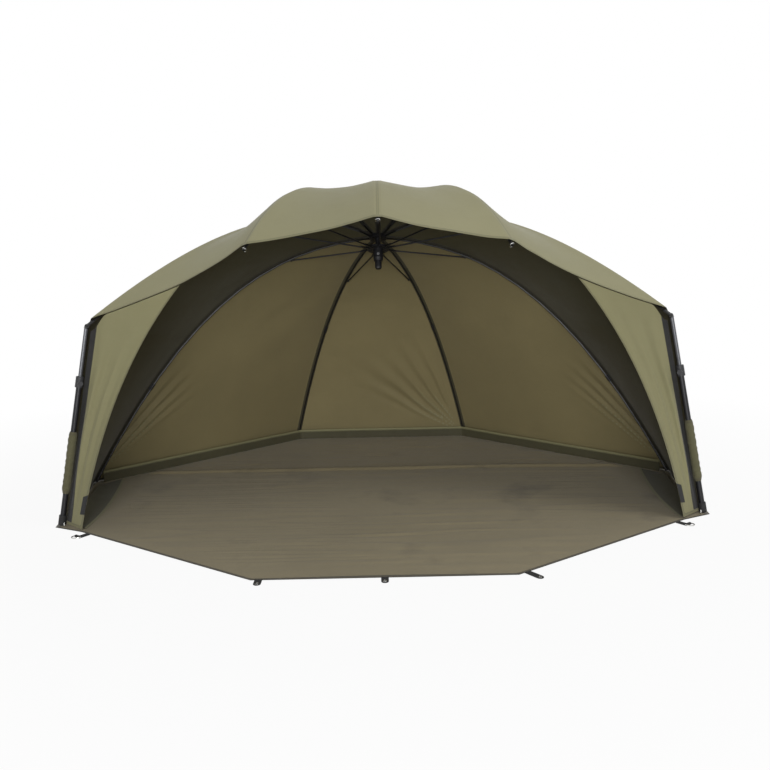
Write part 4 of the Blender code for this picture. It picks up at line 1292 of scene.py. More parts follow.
@dataclass
class StormSide:
    """The wing that closes the front beside a pole, from the eave to the groundsheet's corner."""

    side: Side
    canopy: Canopy
    fits: Fits
    loom: Loom
    eave_share: float = 0.45
    edge_pull: float = 0.115
    bend_share: float = 0.45
    lift_share: float = 0.5
    under_eave: float = 4.5 * MM
    sleeve_clear: float = 2.0 * MM
    head_blend: Pair = (0.03, 0.2)
    head_fade: float = 2.5
    hem_up: float = 5 * MM
    fold: float = 7 * MM
    folds: float = 3.0
    fine_fold: float = 3 * MM
    fine_folds: float = 6.0
    soft_fold: float = 4 * MM
    soft_per_metre: float = 8.0
    patch_rows: tuple[int, int] = (53, 58)
    patch_columns: int = 15
    patch_thick: float = 1.2 * MM
    rows: int = 60
    columns: int = 56
    thick: float = 0.9 * MM
    stand: float = 0.3 * MM
    keep: float = 0.1

    def beside(self, pole: PoleLine, share: float = 0.0) -> Vector:
        """The wing's outer edge: a point just clear of the pole's sleeve, at a share of the pole."""
        return pole.at(share, -self.fits.sleeve_r - self.fits.touch - self.sleeve_clear)

    def head(self, hem: Sequence[Vector], share: float) -> Vector:
        """A point just inside the canopy's hem.

        Args:
            hem: The hem's points, from the front rib on.
            share: Share of the wing's width, from the pole on.

        Returns:
            The point.
        """
        gone = lengths(hem)
        want = max(share * (1 - self.eave_share) * gone[-1], gone[1] / 2)
        k = next(i for i in range(1, len(gone)) if gone[i] >= want)
        point = hem[k - 1].lerp(hem[k], (want - gone[k - 1]) / (gone[k] - gone[k - 1]))
        return point + (self.fits.room - point).normalized() * self.under_eave

    def grid(self, pole: PoleLine) -> Grid:
        """Works out the wing's points, from the eave down, the pole's edge first.

        Args:
            pole: The storm pole's line.

        Returns:
            Rows of points.
        """
        sign = self.side.value
        eave = self.canopy.eave(self.side)
        top = self.head(eave, 1)
        across, back = self.fits.wing_corner
        corner = Vector((sign * across, back, self.fits.sheet + self.hem_up))
        drawn = Vector((sign * self.edge_pull, 0, self.edge_pull * self.lift_share))
        pull = top.lerp(corner, self.bend_share) + drawn
        hem = 1 - (self.hem_up + self.fits.sheet) / pole.pivot.z
        start = 2 * self.fits.pole_head_r / pole.pivot.z
        first = self.beside(pole, start)
        shares = evenly(0, 1, self.columns)
        raised = [(self.head(eave, s) - first.lerp(top, s)) * ease(*self.head_blend, s) for s in shares]
        found = []
        for along in evenly(0, 1, self.rows):
            inner = top * (1 - along) ** 2 + pull * 2 * along * (1 - along) + corner * along**2
            outer = self.beside(pole, start + (hem - start) * along)
            loose = math.sin(math.pi * along)
            drift = 0.6 * noise.noise(Vector((0.0, 7.0, along * 2.3 + sign)))
            line = []
            for share, up in zip(shares, raised):
                point = outer.lerp(inner, share) + up * (1 - along) ** self.head_fade
                wave = math.sin(math.tau * self.folds * share) * (1 - share) * self.fold
                turn = math.tau * (self.fine_folds * share**1.4 + drift)
                fine = math.sin(turn) * (1 - share) ** 2 * self.fine_fold
                soft = self.soft_fold * noise.noise(point * self.soft_per_metre) * (1 - share) * share * 4
                line.append(point + Vector((0, (wave + fine + soft) * loose, 0)))
            found.append(line)
        return found

    def build(self) -> list[bpy.types.Object]:
        """Builds the wing, and the webbing patch on its lower corner, over the D-ring.

        Returns:
            The wing and the patch.
        """
        word = self.side.word
        pole = self.canopy.ribs.pole(word)
        grid = self.grid(pole)
        axis = pole.down.cross(Vector((0, 1, 0))).normalized()
        carried = {
            "outside": lambda _: Vector((0, -1, 0)),
            "body": f"pole_inner_{word}",
            "held": "hung",
            "gather": (axis, self.beside(pole), self.keep),
        }
        wing = Sheet(
            f"storm_side_cloth_{word}",
            grid,
            finishes=(self.loom.wardrobe.wing, self.loom.wardrobe.inside),
            slot="wing_cloth",
            thick=self.thick,
            stand=self.stand,
            lay=lay_of(grid, ["last column", "last row"]),
            stands_for=[f"storm_side_{word}"],
            rests_on=[f"pole_outer_{word}"],
            **carried,
        )
        low, high = self.patch_rows
        patch = Sheet(
            f"corner_patch_{word}",
            [row[-self.patch_columns :] for row in grid[low:high]],
            finishes=(self.loom.wardrobe.webbing,) * 2,
            slot="webbing",
            thick=self.patch_thick,
            stand=self.stand + self.thick + self.fits.touch,
            lay=[row[-self.patch_columns :] for row in wing.lay[low:high]],
            rests_on=[wing.name],
            **carried,
        )
        self.loom.note(wing)
        return [self.loom.sew(wing), self.loom.sew(patch)]


@dataclass
class Groundsheet:
    """The coated sheet on the ground, its dark wall round the back, and its flaps."""

    fits: Fits
    loom: Loom
    front: Pair = (0.44, -1.0857)
    margin: float = 18 * MM
    step: float = 9 * MM
    columns: int = 110
    thick: float = 1.6 * MM
    wrinkle: float = 7 * MM
    edge_flat: float = 0.12  # how far in from the edge it is drawn flat
    foot_flat: Pair = (0.05, 0.22)  # and round each foot
    wall_flat: Pair = (0.015, 0.09)  # and beside the mud wall
    ridges: tuple[tuple[float, float, float], ...] = ((9.0, 0.5, 1.0), (21.0, 0.3, 5.0), (43.0, 0.14, 9.0))
    crease_back: float = 0.32
    crease_high: float = 11 * MM
    crease_wide: float = 11 * MM
    flap_across: float = 1.175
    flap_rows: int = 70
    flap_columns: int = 18
    flap_clear: float = 0.6 * MM
    flap_lean: float = 22 * MM
    flap_fold: float = 6 * MM
    flap_thick: float = 1.1 * MM
    flap_outer: tuple[Pair, Pair] = ((1.336, 0.135), (1.243, -0.478))
    flap_inner: tuple[Pair, Pair, Pair] = ((1.262, 0.235), (1.158, -0.22), (1.176, -0.527))
    wall_high: float = 55 * MM
    wall_thick: float = 1.4 * MM
    wall_inset: float = 34 * MM
    wall_step: float = 14 * MM
    wall_rows: int = 8
    wall_wave: float = 2.2 * MM
    wall_dip: float = 4 * MM

    def outline(self) -> list[Pair]:
        """Finds half the outline, from the front to the back.

        Returns:
            For each named place, how far across the sheet reaches there and how far back it is.
        """
        half = self.margin / 2
        places = (
            (self.fits.wing_corner, 0.0, -half),
            (self.fits.pole_foot, self.margin, -self.margin),
            (self.fits.side_foot, self.margin, -self.margin),
            (self.fits.side_foot, self.margin, self.margin),
            (self.fits.rear_foot, half, self.margin),
        )
        return [self.front] + [(x + out, y + back) for (x, y), out, back in places]

    def height(self, x: float, y: float, edge: float) -> float:
        """How high the sheet's top lies at a place.

        Args:
            x: Across.
            y: Back.
            edge: Distance from the sheet's edge.

        Returns:
            The height over its own thickness.
        """
        fits, place = self.fits, Vector((x, y, 0))
        free = ease(0.0, self.edge_flat, edge)
        for side in Side:
            for across, back in (fits.side_foot, fits.rear_foot, fits.pole_foot, fits.wing_corner):
                free *= ease(*self.foot_flat, (place - Vector((side.value * across, back, 0))).length)
        wall = self.wall_back(x) - y if abs(x) < fits.side_foot[0] else 1.0
        free *= ease(*self.wall_flat, abs(wall))
        if y < fits.side_foot[1] + 0.1:
            free *= 1 - ease(self.flap_across - 0.07, self.flap_across - 0.01, abs(x))
        bent = y + 0.03 * noise.noise(Vector((x * 1.3, 0.0, 4.0)))
        ridges = 0.0
        for per_metre, share, seed in self.ridges:
            swing = noise.noise(Vector((x * 1.1, bent * per_metre, seed)))
            sharp = max(0.0, 1 - abs(swing) * 4) ** 1.5
            ridges += share * sharp * max(0.0, 0.6 + noise.noise(Vector((x * 2, y * 2, seed * 3))))
        crease = math.exp(-(((bent - self.crease_back) / self.crease_wide) ** 2)) * self.crease_high
        bumps = 0.4 * max(0.0, noise.noise(Vector((x * 4, y * 4, 2.0))))
        return max(0.0, (self.wrinkle * max(0.0, ridges + bumps) + crease) * free)

    def wall_back(self, x: float) -> float:
        """How far back the mud wall stands.

        Args:
            x: Across.

        Returns:
            The wall's place on Y.
        """
        (side_x, side_y), (rear_x, rear_y) = self.fits.side_foot, self.fits.rear_foot
        share = min(1.0, max(0.0, (side_x - abs(x)) / (side_x - rear_x)))
        return side_y + (rear_y - side_y) * share - self.wall_inset

    def lay_down(self, name: str, grid: Grid, finish: Finish, **settings: object) -> bpy.types.Object:
        """Makes a sheet that stays on the ground.

        Args:
            name: Its name.
            grid: Its points.
            finish: What both its sides look like.
            **settings: The sheet's other settings.

        Returns:
            The object.
        """
        settings = {"outside": lambda _: Vector((0, 0, 1)), "held": "laid", "slot": "wall_cloth", **settings}
        sheet = Sheet(name, grid, finishes=(finish, finish), body="ground", **settings)
        self.loom.note(sheet)
        return self.loom.sew(sheet)

    def build(self) -> list[bpy.types.Object]:
        """Builds the sheet, its wall and its flaps.

        Returns:
            The objects.
        """
        corners = self.outline()
        backs: list[Pair] = []
        for (x0, y0), (x1, y1) in zip(corners, corners[1:]):
            steps = max(1, round((y1 - y0) / self.step))
            backs += [(x0 + (x1 - x0) * i / steps, y0 + (y1 - y0) * i / steps) for i in range(steps)]
        backs.append(corners[-1])
        grid = []
        for reach, back in backs:
            ends = min(back - corners[0][1], corners[-1][1] - back)
            line = []
            for share in evenly(-1, 1, self.columns):
                edge = min(ends, (1 - abs(share)) * reach)
                line.append(Vector((share * reach, back, self.height(share * reach, back, edge))))
            grid.append(line)
        laid = self.lay_down(
            "groundsheet_cloth",
            grid,
            self.loom.wardrobe.floor,
            slot="floor_cloth",
            thick=self.thick,
            hems=["first row", "last row", "first column", "last column"],
            stands_for=["groundsheet"],
            long=lengths([row[len(row) // 2] for row in grid])[-1],
        )
        return [laid, self.wall(), *(self.flap(side) for side in Side)]

    def flap(self, side: Side) -> bpy.types.Object:
        """Builds the dark flap that lies inside a side, from the side foot to the wing.

        Args:
            side: Which side.

        Returns:
            The object.
        """
        sign = side.value
        outer = [Vector((x, y, 0)) for x, y in self.flap_outer]
        inner = [Vector((x, y, 0)) for x, y in self.flap_inner]
        grid = []
        for t in evenly(0, 1, self.flap_rows):
            a = outer[0].lerp(outer[1], t)
            b = inner[0] * (1 - t) ** 2 + inner[1] * 2 * t * (1 - t) + inner[2] * t**2
            line = []
            for u in evenly(0, 1, self.flap_columns):
                point = a.lerp(b, u)
                lean = self.flap_lean * (1 - u) ** 3 * ease(0, 0.12, t) * ease(0, 0.12, 1 - t)
                swing = noise.noise(Vector((point.x * 6, point.y * 9, 3.0 + sign)))
                fold = self.flap_fold * max(0.0, swing)
                fold *= math.sin(math.pi * u) * ease(0, 0.1, t) * ease(0, 0.1, 1 - t)
                line.append(Vector((sign * point.x, point.y, self.thick + self.flap_clear + lean + fold)))
            grid.append(line)
        # a dark sheet laid on the groundsheet inside each side corner
        return self.lay_down(
            f"mud_flap_{side.word}",
            grid,
            self.loom.wardrobe.wall,
            thick=self.flap_thick,
            hems=["last column"],
            rests_on=["groundsheet_cloth"],
        )

    def wall(self) -> bpy.types.Object:
        """Builds the mud wall, from one side foot round the back to the other.

        Returns:
            The object.
        """
        path = []
        middle = Vector((0, self.fits.crown_back, 0))
        for sign in (1, -1):
            ends = [Vector((sign * x, y, 0)) for x, y in (self.fits.side_foot, self.fits.rear_foot)]
            path += [p + (middle - p).normalized() * self.wall_inset for p in ends][::sign]
        points: list[Vector] = []
        for a, b in zip(path, path[1:]):
            steps = max(2, round((b - a).length / self.wall_step))
            points += [a.lerp(b, i / steps) for i in range(steps)]
        points.append(path[-1])
        low = self.fits.sheet + self.fits.touch
        grid = []
        for up in evenly(0, 1, self.wall_rows):
            line = []
            for point in points:
                inward = (middle - point).normalized()
                wave = self.wall_wave * noise.noise(point * 7 + Vector((0, 0, up * 0.7))) * up * 2
                dip = self.wall_dip * max(0.0, noise.noise(point * 3)) * up
                line.append(point + inward * abs(wave) + Vector((0, 0, low + self.wall_high * up - dip)))
            grid.append(line)
        return self.lay_down(
            "mud_wall_cloth",
            grid,
            self.loom.wardrobe.wall,
            outside=lambda point: middle - point,
            held="hung",
            thick=self.wall_thick,
            hems=["last row"],
            stands_for=["mud_wall"],
            rests_on=["groundsheet_cloth"],
        )


@dataclass
class PoleSleeve:
    """The gathered cloth sleeve on a storm pole."""

    side: Side
    pole: PoleLine
    fits: Fits
    wardrobe: Wardrobe
    down: float = 420 * MM
    long: float = 250 * MM
    wall: float = 1.2 * MM
    gathers: float = 9.0
    least: float = 0.62  # how far out the cloth lies between its gathers, as a share of its room
    end_steep: float = 12.0  # how fast the ends open out
    slack: float = 0.6 * MM
    rows: int = 60
    around: int = 40

    @property
    def bore(self) -> float:
        """The radius of its inside, just clear of the pole."""
        return self.fits.pole_outer_r + self.fits.touch

    def radius(self, share: float, turn: float) -> float:
        """How far out the gathered cloth lies.

        Args:
            share: Share of the way down the sleeve.
            turn: Angle round the pole.

        Returns:
            The radius.
        """
        swell = math.sin(math.pi * min(1, share * self.end_steep, (1 - share) * self.end_steep) / 2)
        loose = noise.noise(polar(1.4, turn, share * 17))
        gathered = 0.5 + 0.5 * math.sin(math.tau * (share * self.gathers + 0.35 * loose))
        room = self.fits.sleeve_r - self.bore - self.wall
        radius = self.bore + self.wall + room * swell * (self.least + (1 - self.least) * gathered)
        return min(radius + self.slack * loose, self.fits.sleeve_r)

    def build(self) -> bpy.types.Object:
        """Builds the sleeve as one closed turned cloth.

        Returns:
            The piece.
        """
        word, frame = self.side.word, self.pole.frame()
        turns = [math.tau * k / self.around for k in range(self.around)]
        rings, lay = [], []
        for share in evenly(0, 1, self.rows):
            radii = [self.radius(share, turn) for turn in turns]
            rings.append([polar(r, turn, -self.down - self.long * share) for r, turn in zip(radii, turns)])
            hem = min(share, 1 - share) * self.long
            lay += [Vector((share * self.long, turn * r, hem)) for r, turn in zip(radii, turns)]
        for up in (-self.down - self.long, -self.down):
            rings.append([polar(self.bore, turn, up) for turn in turns])
            lay += [Vector((0.0, 1.0, 0.0))] * self.around
        shape = bmesh.new()
        loops = [[shape.verts.new(frame @ point) for point in ring] for ring in rings]
        for upper, lower in zip(loops, loops[1:] + loops[:1]):
            for k in range(self.around):
                n = (k + 1) % self.around
                shape.faces.new((upper[k], upper[n], lower[n], lower[k]))
        bmesh.ops.recalc_face_normals(shape, faces=shape.faces)
        data = bpy.data.meshes.new(f"sleeve_{word}")
        shape.to_mesh(data)
        shape.free()
        attribute = data.attributes.new("lay", "FLOAT_VECTOR", "POINT")
        attribute.data.foreach_set("vector", [c for point in lay for c in point])
        data.shade_smooth()
        data.set_sharp_from_angle(angle=math.radians(60))
        return self.wardrobe.fit_out(
            add_object(f"sleeve_{word}", data),
            [self.wardrobe.sleeve],
            "sleeve_cloth",
            f"pole_outer_{word}",
            [f"pole_sleeve_{word}"],
        )


# ---------------------------------------------------------------- webbing and fittings


@dataclass
class Tabs:
    """The webbing sewn to the groundsheet's front."""

    frame: dict
    wardrobe: Wardrobe
    edge: float = 0.5 * MM
    names: tuple[str, ...] = (
        "ring_tab_left",
        "ring_tab_right",
        "peg_tab_left",
        "peg_tab_centre",
        "front_strap",
    )

    def build(self) -> list[bpy.types.Object]:
        """Builds the webbing tabs from the solids' own outlines, with softened edges.

        Returns:
            The pieces.
        """
        made = []
        for name in self.names:
            data = self.frame["nodes"][name].data.copy()
            data.name = f"{name}_webbing"
            shape = bmesh.new()
            shape.from_mesh(data)
            bmesh.ops.remove_doubles(shape, verts=shape.verts, dist=MERGE)
            bmesh.ops.dissolve_limit(shape, angle_limit=math.radians(1), verts=shape.verts, edges=shape.edges)
            bmesh.ops.recalc_face_normals(shape, faces=shape.faces)
            sharp = [e for e in shape.edges if e.is_manifold and e.calc_face_angle() > math.radians(50)]
            bmesh.ops.bevel(shape, geom=sharp, offset=self.edge, segments=2, profile=0.5, affect="EDGES")
            shape.to_mesh(data)
            shape.free()
            data.shade_smooth()
            data.set_sharp_from_angle(angle=math.radians(40))
            obj = add_object(f"{name}_webbing", data)
            made.append(self.wardrobe.fit_out(obj, [self.wardrobe.webbing], "webbing", "ground", [name]))
        return made


def edit(obj: bpy.types.Object) -> None:
    """Makes one object active, alone in the selection, and in edit mode with nothing picked.

    Args:
        obj: The object.
    """
    bpy.ops.object.select_all(action="DESELECT")
    bpy.context.view_layer.objects.active = obj
    obj.select_set(True)
    bpy.ops.object.mode_set(mode="EDIT")
    bpy.ops.mesh.select_mode(type="FACE")
    bpy.ops.mesh.select_all(action="DESELECT")


def pick(obj: bpy.types.Object, test: Callable[[bmesh.types.BMFace], bool]) -> None:
    """Picks the faces that pass a test, in edit mode.

    Args:
        obj: The object.
        test: Says whether a face is picked.
    """
    bpy.ops.mesh.select_all(action="DESELECT")
    shape = bmesh.from_edit_mesh(obj.data)
    for face in shape.faces:
        face.select_set(test(face))
    bmesh.update_edit_mesh(obj.data)


def finish_edit(obj: bpy.types.Object, bevel: float = 0.0) -> bpy.types.Object:
    """Merges and turns out the faces, leaves edit mode and rounds the edges.

    Args:
        obj: The object.
        bevel: Width of the rounding, or 0 for none.

    Returns:
        The object.
    """
    bpy.ops.mesh.select_all(action="SELECT")
    bpy.ops.mesh.remove_doubles(threshold=MERGE)
    bpy.ops.mesh.normals_make_consistent(inside=False)
    bpy.ops.object.mode_set(mode="OBJECT")
    if bevel:
        rounded = obj.modifiers.new("rounded", "BEVEL")
        rounded.width, rounded.segments, rounded.limit_method = bevel, 2, "ANGLE"
        rounded.angle_limit = math.radians(40)
        bpy.ops.object.modifier_apply(modifier=rounded.name)
    bpy.ops.object.shade_smooth_by_angle(angle=math.radians(40))
    return obj


@dataclass
class Fittings:
    """Small fittings: clips round the ribs, eyelets, rings on the peak ribs' tips, pins at the poles."""

    ribs: RibSet
    fits: Fits
    wardrobe: Wardrobe
    clip_bore_r: float = 4.8 * MM
    clip_r: float = 7.6 * MM
    clip_long: float = 34 * MM
    clip_edge: float = 0.4 * MM
    boss_in: float = 1.2 * MM
    boss_high: float = 2.2 * MM
    screw_in: float = 0.8 * MM
    side_clip_share: float = 0.805
    rear_clip_share: float = 0.59
    ring_r: float = 8.2 * MM
    ring_wire_r: float = 1.2 * MM
    ring_stretch: float = 1.25
    ring_back: float = 7 * MM
    eyelet_r: float = 5.4 * MM
    eyelet_wire_r: float = 1.2 * MM
    eyelet_flat: float = 0.5
    tab_long: float = 46 * MM
    strap_long: float = 70 * MM
    tab_wide: float = 25 * MM
    tab_thick: float = 3 * MM
    peg_tab_share: float = 0.03
    strap_share: float = 0.04
    corner_in: float = 13 * MM
    pin_r: float = 1.9 * MM
    pin_long: float = 24 * MM
    pin_edge: float = 0.3 * MM
    pin_bend_r: float = 5 * MM
    pin_off: float = 15 * MM
    pin_up: float = 9 * MM
    pin_forward: float = 1.3

    def put(
        self,
        model: bpy.types.Object,
        name: str,
        place: Matrix,
        body: str,
        finish: Finish | None = None,
        slot: str = "ring_steel",
    ) -> bpy.types.Object:
        """Copies a fitting with its own mesh, puts it in place and dresses it.

        Args:
            model: The fitting as modelled.
            name: The copy's name.
            place: Where it goes.
            body: The body that it rides.
            finish: What it looks like, or None for the plated wire.
            slot: Its material slot in the record.

        Returns:
            The copy, at the origin.
        """
        obj = add_object(name, model.data.copy())
        obj.data.transform(place)
        return self.wardrobe.fit_out(obj, [finish or self.wardrobe.steel], slot, body)

    def clip(self) -> bpy.types.Object:
        """Models a clip: a moulded sleeve round a rib, with a screw boss on one side.

        Returns:
            The clip.
        """
        bpy.ops.object.select_all(action="DESELECT")
        bpy.ops.mesh.primitive_cylinder_add(vertices=24, radius=self.clip_r, depth=self.clip_long)
        obj = bpy.context.object
        edit(obj)
        pick(obj, lambda face: abs(face.normal.z) > 0.9)
        bpy.ops.mesh.inset(thickness=self.clip_r - self.clip_bore_r)
        bpy.ops.mesh.bridge_edge_loops()
        pick(obj, lambda face: abs(face.normal.z) < 0.5 and face.calc_center_median().x > 0.93 * self.clip_r)
        for inset, rise in ((self.boss_in, self.boss_high), (self.screw_in, -self.screw_in)):
            bpy.ops.mesh.inset(thickness=inset)
            bpy.ops.mesh.extrude_region_move(TRANSFORM_OT_translate={"value": (rise, 0, 0)})
        return finish_edit(obj, self.clip_edge)

    def ring(self, radius: float, wire: float, stretch: tuple[float, float, float]) -> bpy.types.Object:
        """Models a closed wire ring or a rolled eyelet.

        Args:
            radius: To the middle of the wire.
            wire: The wire's radius.
            stretch: How it is pressed out of round.

        Returns:
            The object.
        """
        bpy.ops.object.select_all(action="DESELECT")
        bpy.ops.mesh.primitive_torus_add(
            major_radius=radius, minor_radius=wire, major_segments=36, minor_segments=12
        )
        obj = bpy.context.object
        edit(obj)
        bpy.ops.mesh.select_all(action="SELECT")
        bpy.ops.transform.resize(value=stretch)
        return finish_edit(obj)

    def pin(self) -> bpy.types.Object:
        """Models a pole pin: a plated rod with a hooked end.

        Returns:
            The pin.
        """
        bpy.ops.object.select_all(action="DESELECT")
        bpy.ops.mesh.primitive_cylinder_add(vertices=14, radius=self.pin_r, depth=self.pin_long)
        obj = bpy.context.object
        edit(obj)
        pick(obj, lambda face: face.normal.z > 0.9)
        centre = (0, self.pin_bend_r, self.pin_long / 2)
        bpy.ops.mesh.spin(steps=9, angle=math.radians(160), center=centre, axis=(-1, 0, 0))
        return finish_edit(obj, self.pin_edge)

    def tab_frames(self, ground: Groundsheet) -> dict[str, Matrix]:
        """Finds the peg holes of the front tabs.

        Args:
            ground: The groundsheet, for its front edge.

        Returns:
            For each tab, the frame of its hole on the webbing's top.
        """
        across, back = ground.front
        left, front = Vector((-across, back, 0)), Vector((across, back, 0))
        across, back = self.fits.wing_corner
        corner = Vector((across, back - self.corner_in, 0))
        found = {}
        for name, start, end, share, long in (
            ("peg_tab_left", left, front, self.peg_tab_share, self.tab_long),
            ("peg_tab_centre", left, front, 0.5, self.tab_long),
            ("front_strap", front, corner, self.strap_share, self.strap_long),
        ):
            run = (end - start).normalized()
            away = Vector((run.y, -run.x, 0))
            point = start.lerp(end, share) + away * (self.fits.touch + long - self.tab_wide / 2)
            found[name] = Matrix.Translation((point.x, point.y, self.tab_thick))
        return found

    def build(self, ground: Groundsheet) -> list[bpy.types.Object]:
        """Models each fitting once, then places and dresses its copies.

        Args:
            ground: The groundsheet.

        Returns:
            The fittings.
        """
        models = clip, ring, eyelet, pin = (
            self.clip(),
            self.ring(self.ring_r, self.ring_wire_r, (1.0, self.ring_stretch, 1.0)),
            self.ring(self.eyelet_r, self.eyelet_wire_r, (1.0, 1.0, self.eyelet_flat)),
            self.pin(),
        )
        made = []
        for side in Side:
            word = side.word
            for kind, share in (("side", self.side_clip_share), ("rear", self.rear_clip_share)):
                rib = self.ribs.lines[f"{kind}_{word}"]
                step = self.clip_long / 2 / rib.reach
                run = rib.place(share + step) - rib.place(share - step)
                turn = run.to_track_quat("Z", "X").to_matrix().to_4x4()
                place = Matrix.Translation(rib.place(share)) @ turn
                look = self.wardrobe.nylon, "moulded_black"
                made.append(self.put(clip, f"rib_clip_{rib.name}", place, f"rib_{rib.name}", *look))
            rib = self.ribs.lines[f"peak_{word}"]
            run = rib.place(1) - rib.place(0.97)
            hang = self.ring_r * self.ring_stretch - self.ring_wire_r - self.fits.tip_cap_r
            middle = rib.place(1) - run.normalized() * self.ring_back - Vector((0, 0, hang))
            place = Matrix.Translation(middle) @ run.to_track_quat("Z", "Y").to_matrix().to_4x4()
            made.append(self.put(ring, f"peak_ring_{word}", place, f"rib_{rib.name}"))
            way = Vector((-side.value, -self.pin_forward, 0)).normalized()
            off = way * (self.pin_off + self.pin_long / 2)
            middle = self.ribs.pole(word).foot + off + Vector((0, 0, self.pin_up))
            place = Matrix.Translation(middle) @ way.to_track_quat("Z", "Y").to_matrix().to_4x4()
            made.append(self.put(pin, f"pole_pin_{word}", place, f"pole_outer_{word}"))
        for name, place in self.tab_frames(ground).items():
            made.append(self.put(eyelet, f"{name}_eyelet", place, "ground"))
        for model in models:
            bpy.data.objects.remove(model, do_unlink=True)
        return made


# ---------------------------------------------------------------- the room round it


@dataclass(frozen=True)
class Lamp:
    """One soft round lamp."""

    name: str
    place: tuple[float, float, float]
    size: float
    watts: float


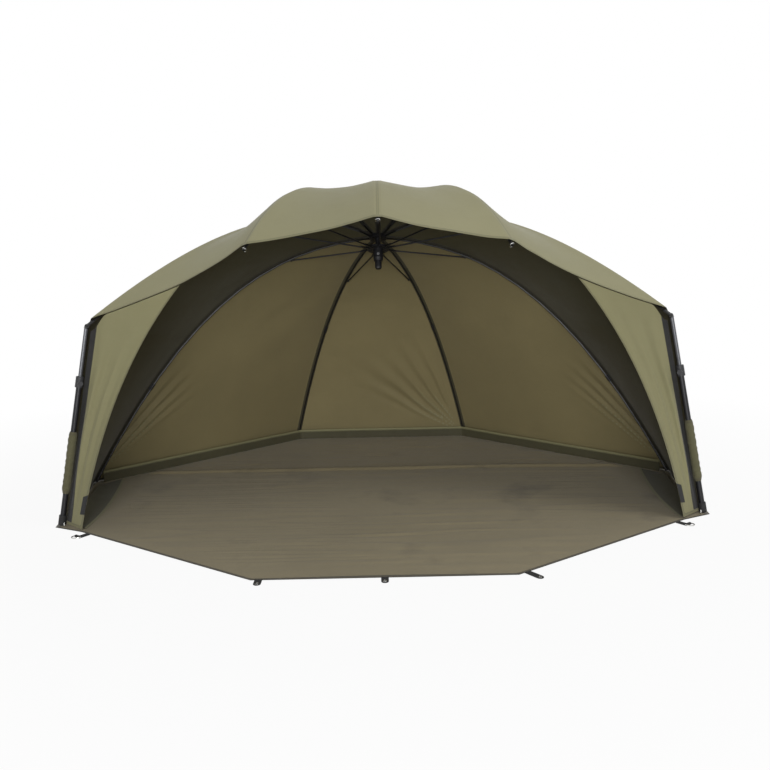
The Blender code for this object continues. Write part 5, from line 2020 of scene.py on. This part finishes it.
@dataclass
class Studio:
    """Pale floor, soft lamps and the camera at the photograph's place."""

    place: tuple[float, float, float] = (-0.006, -3.584, 1.009)
    yaw: float = math.radians(0.404)
    pitch: float = math.radians(8.472)
    roll: float = math.radians(1.045)
    lens: float = 37.44
    sensor_wide: float = 36.0
    floor_wide: float = 60.0
    floor_down: float = 0.5 * MM
    floor_colour: str = "F2F2F0"
    floor_near: float = 0.92  # how white the camera sees it under the umbrella
    floor_fade: Pair = (1.6, 3.4)  # distances between which it turns all white
    sky_colour: str = "F4F6F8"
    sky_strength: float = 0.3
    aim: tuple[float, float, float] = (0, 0.1, 0.5)
    lamps: tuple[Lamp, ...] = (
        Lamp("front", (-0.3, -9.5, 2.2), 4.5, 465),
        Lamp("key", (3.8, -1.8, 5.0), 3.0, 85),
        Lamp("top", (1.2, 1.5, 5.5), 4.0, 25),
    )

    def camera(self) -> None:
        """Makes the scene's camera."""
        data = bpy.data.cameras.new("camera")
        data.lens, data.sensor_width = self.lens, self.sensor_wide
        flat = math.cos(self.pitch)
        ahead = Vector((math.sin(self.yaw) * flat, math.cos(self.yaw) * flat, -math.sin(self.pitch)))
        right = Vector((math.cos(self.yaw), -math.sin(self.yaw), 0))
        up = right.cross(ahead)
        c, s = math.cos(self.roll), math.sin(self.roll)
        across, upward = right * c - up * s, right * s + up * c
        turn = Matrix((across, upward, -ahead)).transposed().to_4x4()
        obj = add_object("camera", data)
        obj.matrix_world = Matrix.Translation(self.place) @ turn
        bpy.context.scene.camera = obj

    @staticmethod
    def seen(tree: bpy.types.NodeTree) -> bpy.types.Node:
        """Gives 1 where the picture shows a surface, straight, mirrored or through something clear.

        Args:
            tree: The node tree of the surface.

        Returns:
            The node whose first output says so.
        """
        rays = add_node(tree, "LightPath").outputs
        seen = rays["Is Camera Ray"]
        for kind in ("Is Glossy Ray", "Is Transmission Ray"):
            seen = add_node(tree, "Math", {0: seen, 1: rays[kind]}, operation="MAXIMUM")
        return seen

    def floor(self) -> None:
        """Makes the floor, which shows white to the camera and keeps the shadow."""
        bpy.ops.object.select_all(action="DESELECT")
        bpy.ops.mesh.primitive_plane_add(size=self.floor_wide, location=(0, 0, -self.floor_down))
        obj = bpy.context.object
        obj.name = "floor"
        obj.data.transform(obj.matrix_world)
        obj.matrix_world = Matrix()
        made = bpy.data.materials.new("painted floor, white")
        made.use_nodes = True
        tree = made.node_tree
        shader = tree.nodes["Principled BSDF"]
        shader.inputs["Base Color"].default_value = linear(self.floor_colour)
        shader.inputs["Roughness"].default_value = 0.9
        seen = self.seen(tree)
        place = add_node(tree, "TexCoord").outputs["Object"]
        far = add_node(tree, "VectorMath", {0: place}, operation="LENGTH").outputs["Value"]
        start, end = self.floor_fade
        fade = {"Value": far, "From Min": start, "From Max": end, "To Min": self.floor_near}
        share = {0: seen, 1: add_node(tree, "MapRange", fade)}
        share = add_node(tree, "Math", share, operation="MULTIPLY")
        glow = add_node(tree, "Emission", {"Color": (1, 1, 1, 1), "Strength": 1.0})
        mixed = add_node(tree, "MixShader", {0: share, 1: shader, 2: glow})
        tree.links.new(mixed.outputs[0], tree.nodes["Material Output"].inputs["Surface"])
        obj.data.materials.append(made)

    def world(self) -> None:
        """Makes the sky: white where the camera sees it."""
        made = bpy.data.worlds.new("studio")
        bpy.context.scene.world = made
        made.use_nodes = True
        tree = made.node_tree
        plain = tree.nodes["Background"]
        plain.inputs["Color"].default_value = linear(self.sky_colour)
        plain.inputs["Strength"].default_value = self.sky_strength
        white = add_node(tree, "Background", {"Color": (1, 1, 1, 1), "Strength": 1.0})
        mixed = add_node(tree, "MixShader", {0: self.seen(tree), 1: plain, 2: white})
        tree.links.new(mixed.outputs[0], tree.nodes["World Output"].inputs["Surface"])

    def build(self) -> None:
        """Sets up camera, floor and lights."""
        self.camera()
        self.floor()
        self.world()
        for lamp in self.lamps:
            data = bpy.data.lights.new(lamp.name, "AREA")
            data.shape, data.size, data.energy = "DISK", lamp.size, lamp.watts
            obj = add_object(lamp.name, data)
            obj.location = lamp.place
            obj.rotation_euler = (Vector(self.aim) - Vector(lamp.place)).to_track_quat("-Z", "Y").to_euler()
        bpy.context.scene.view_settings.view_transform = "Standard"


def corners(found: tuple[Vector, Vector]) -> list[list[float]]:
    """Turns a box's corners to plain lists."""
    return [list(corner) for corner in found]


def main() -> None:
    """Builds the umbrella's looks, class by class."""
    logging.basicConfig(level=logging.INFO, format="%(message)s")
    for obj in list(bpy.data.objects):
        bpy.data.objects.remove(obj, do_unlink=True)
    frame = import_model()
    fits, wardrobe = Fits(), Wardrobe()
    ribs, loom = RibSet(fits), Loom(wardrobe)
    Studio().build()
    wardrobe.dress_solids(frame)
    canopy, ground = Canopy(ribs, fits, loom), Groundsheet(fits, loom)
    made = canopy.build() + ground.build()
    made += Fittings(ribs, fits, wardrobe).build(ground)
    made += Tabs(frame, wardrobe).build()
    for side in Side:
        made += StormSide(side, canopy, fits, loom).build()
        made.append(PoleSleeve(side, ribs.pole(side.word), fits, wardrobe).build())
    for obj in made:
        LOG.info("%s: %d faces", obj.name, len(obj.data.polygons))


if __name__ == "__main__":
    main()
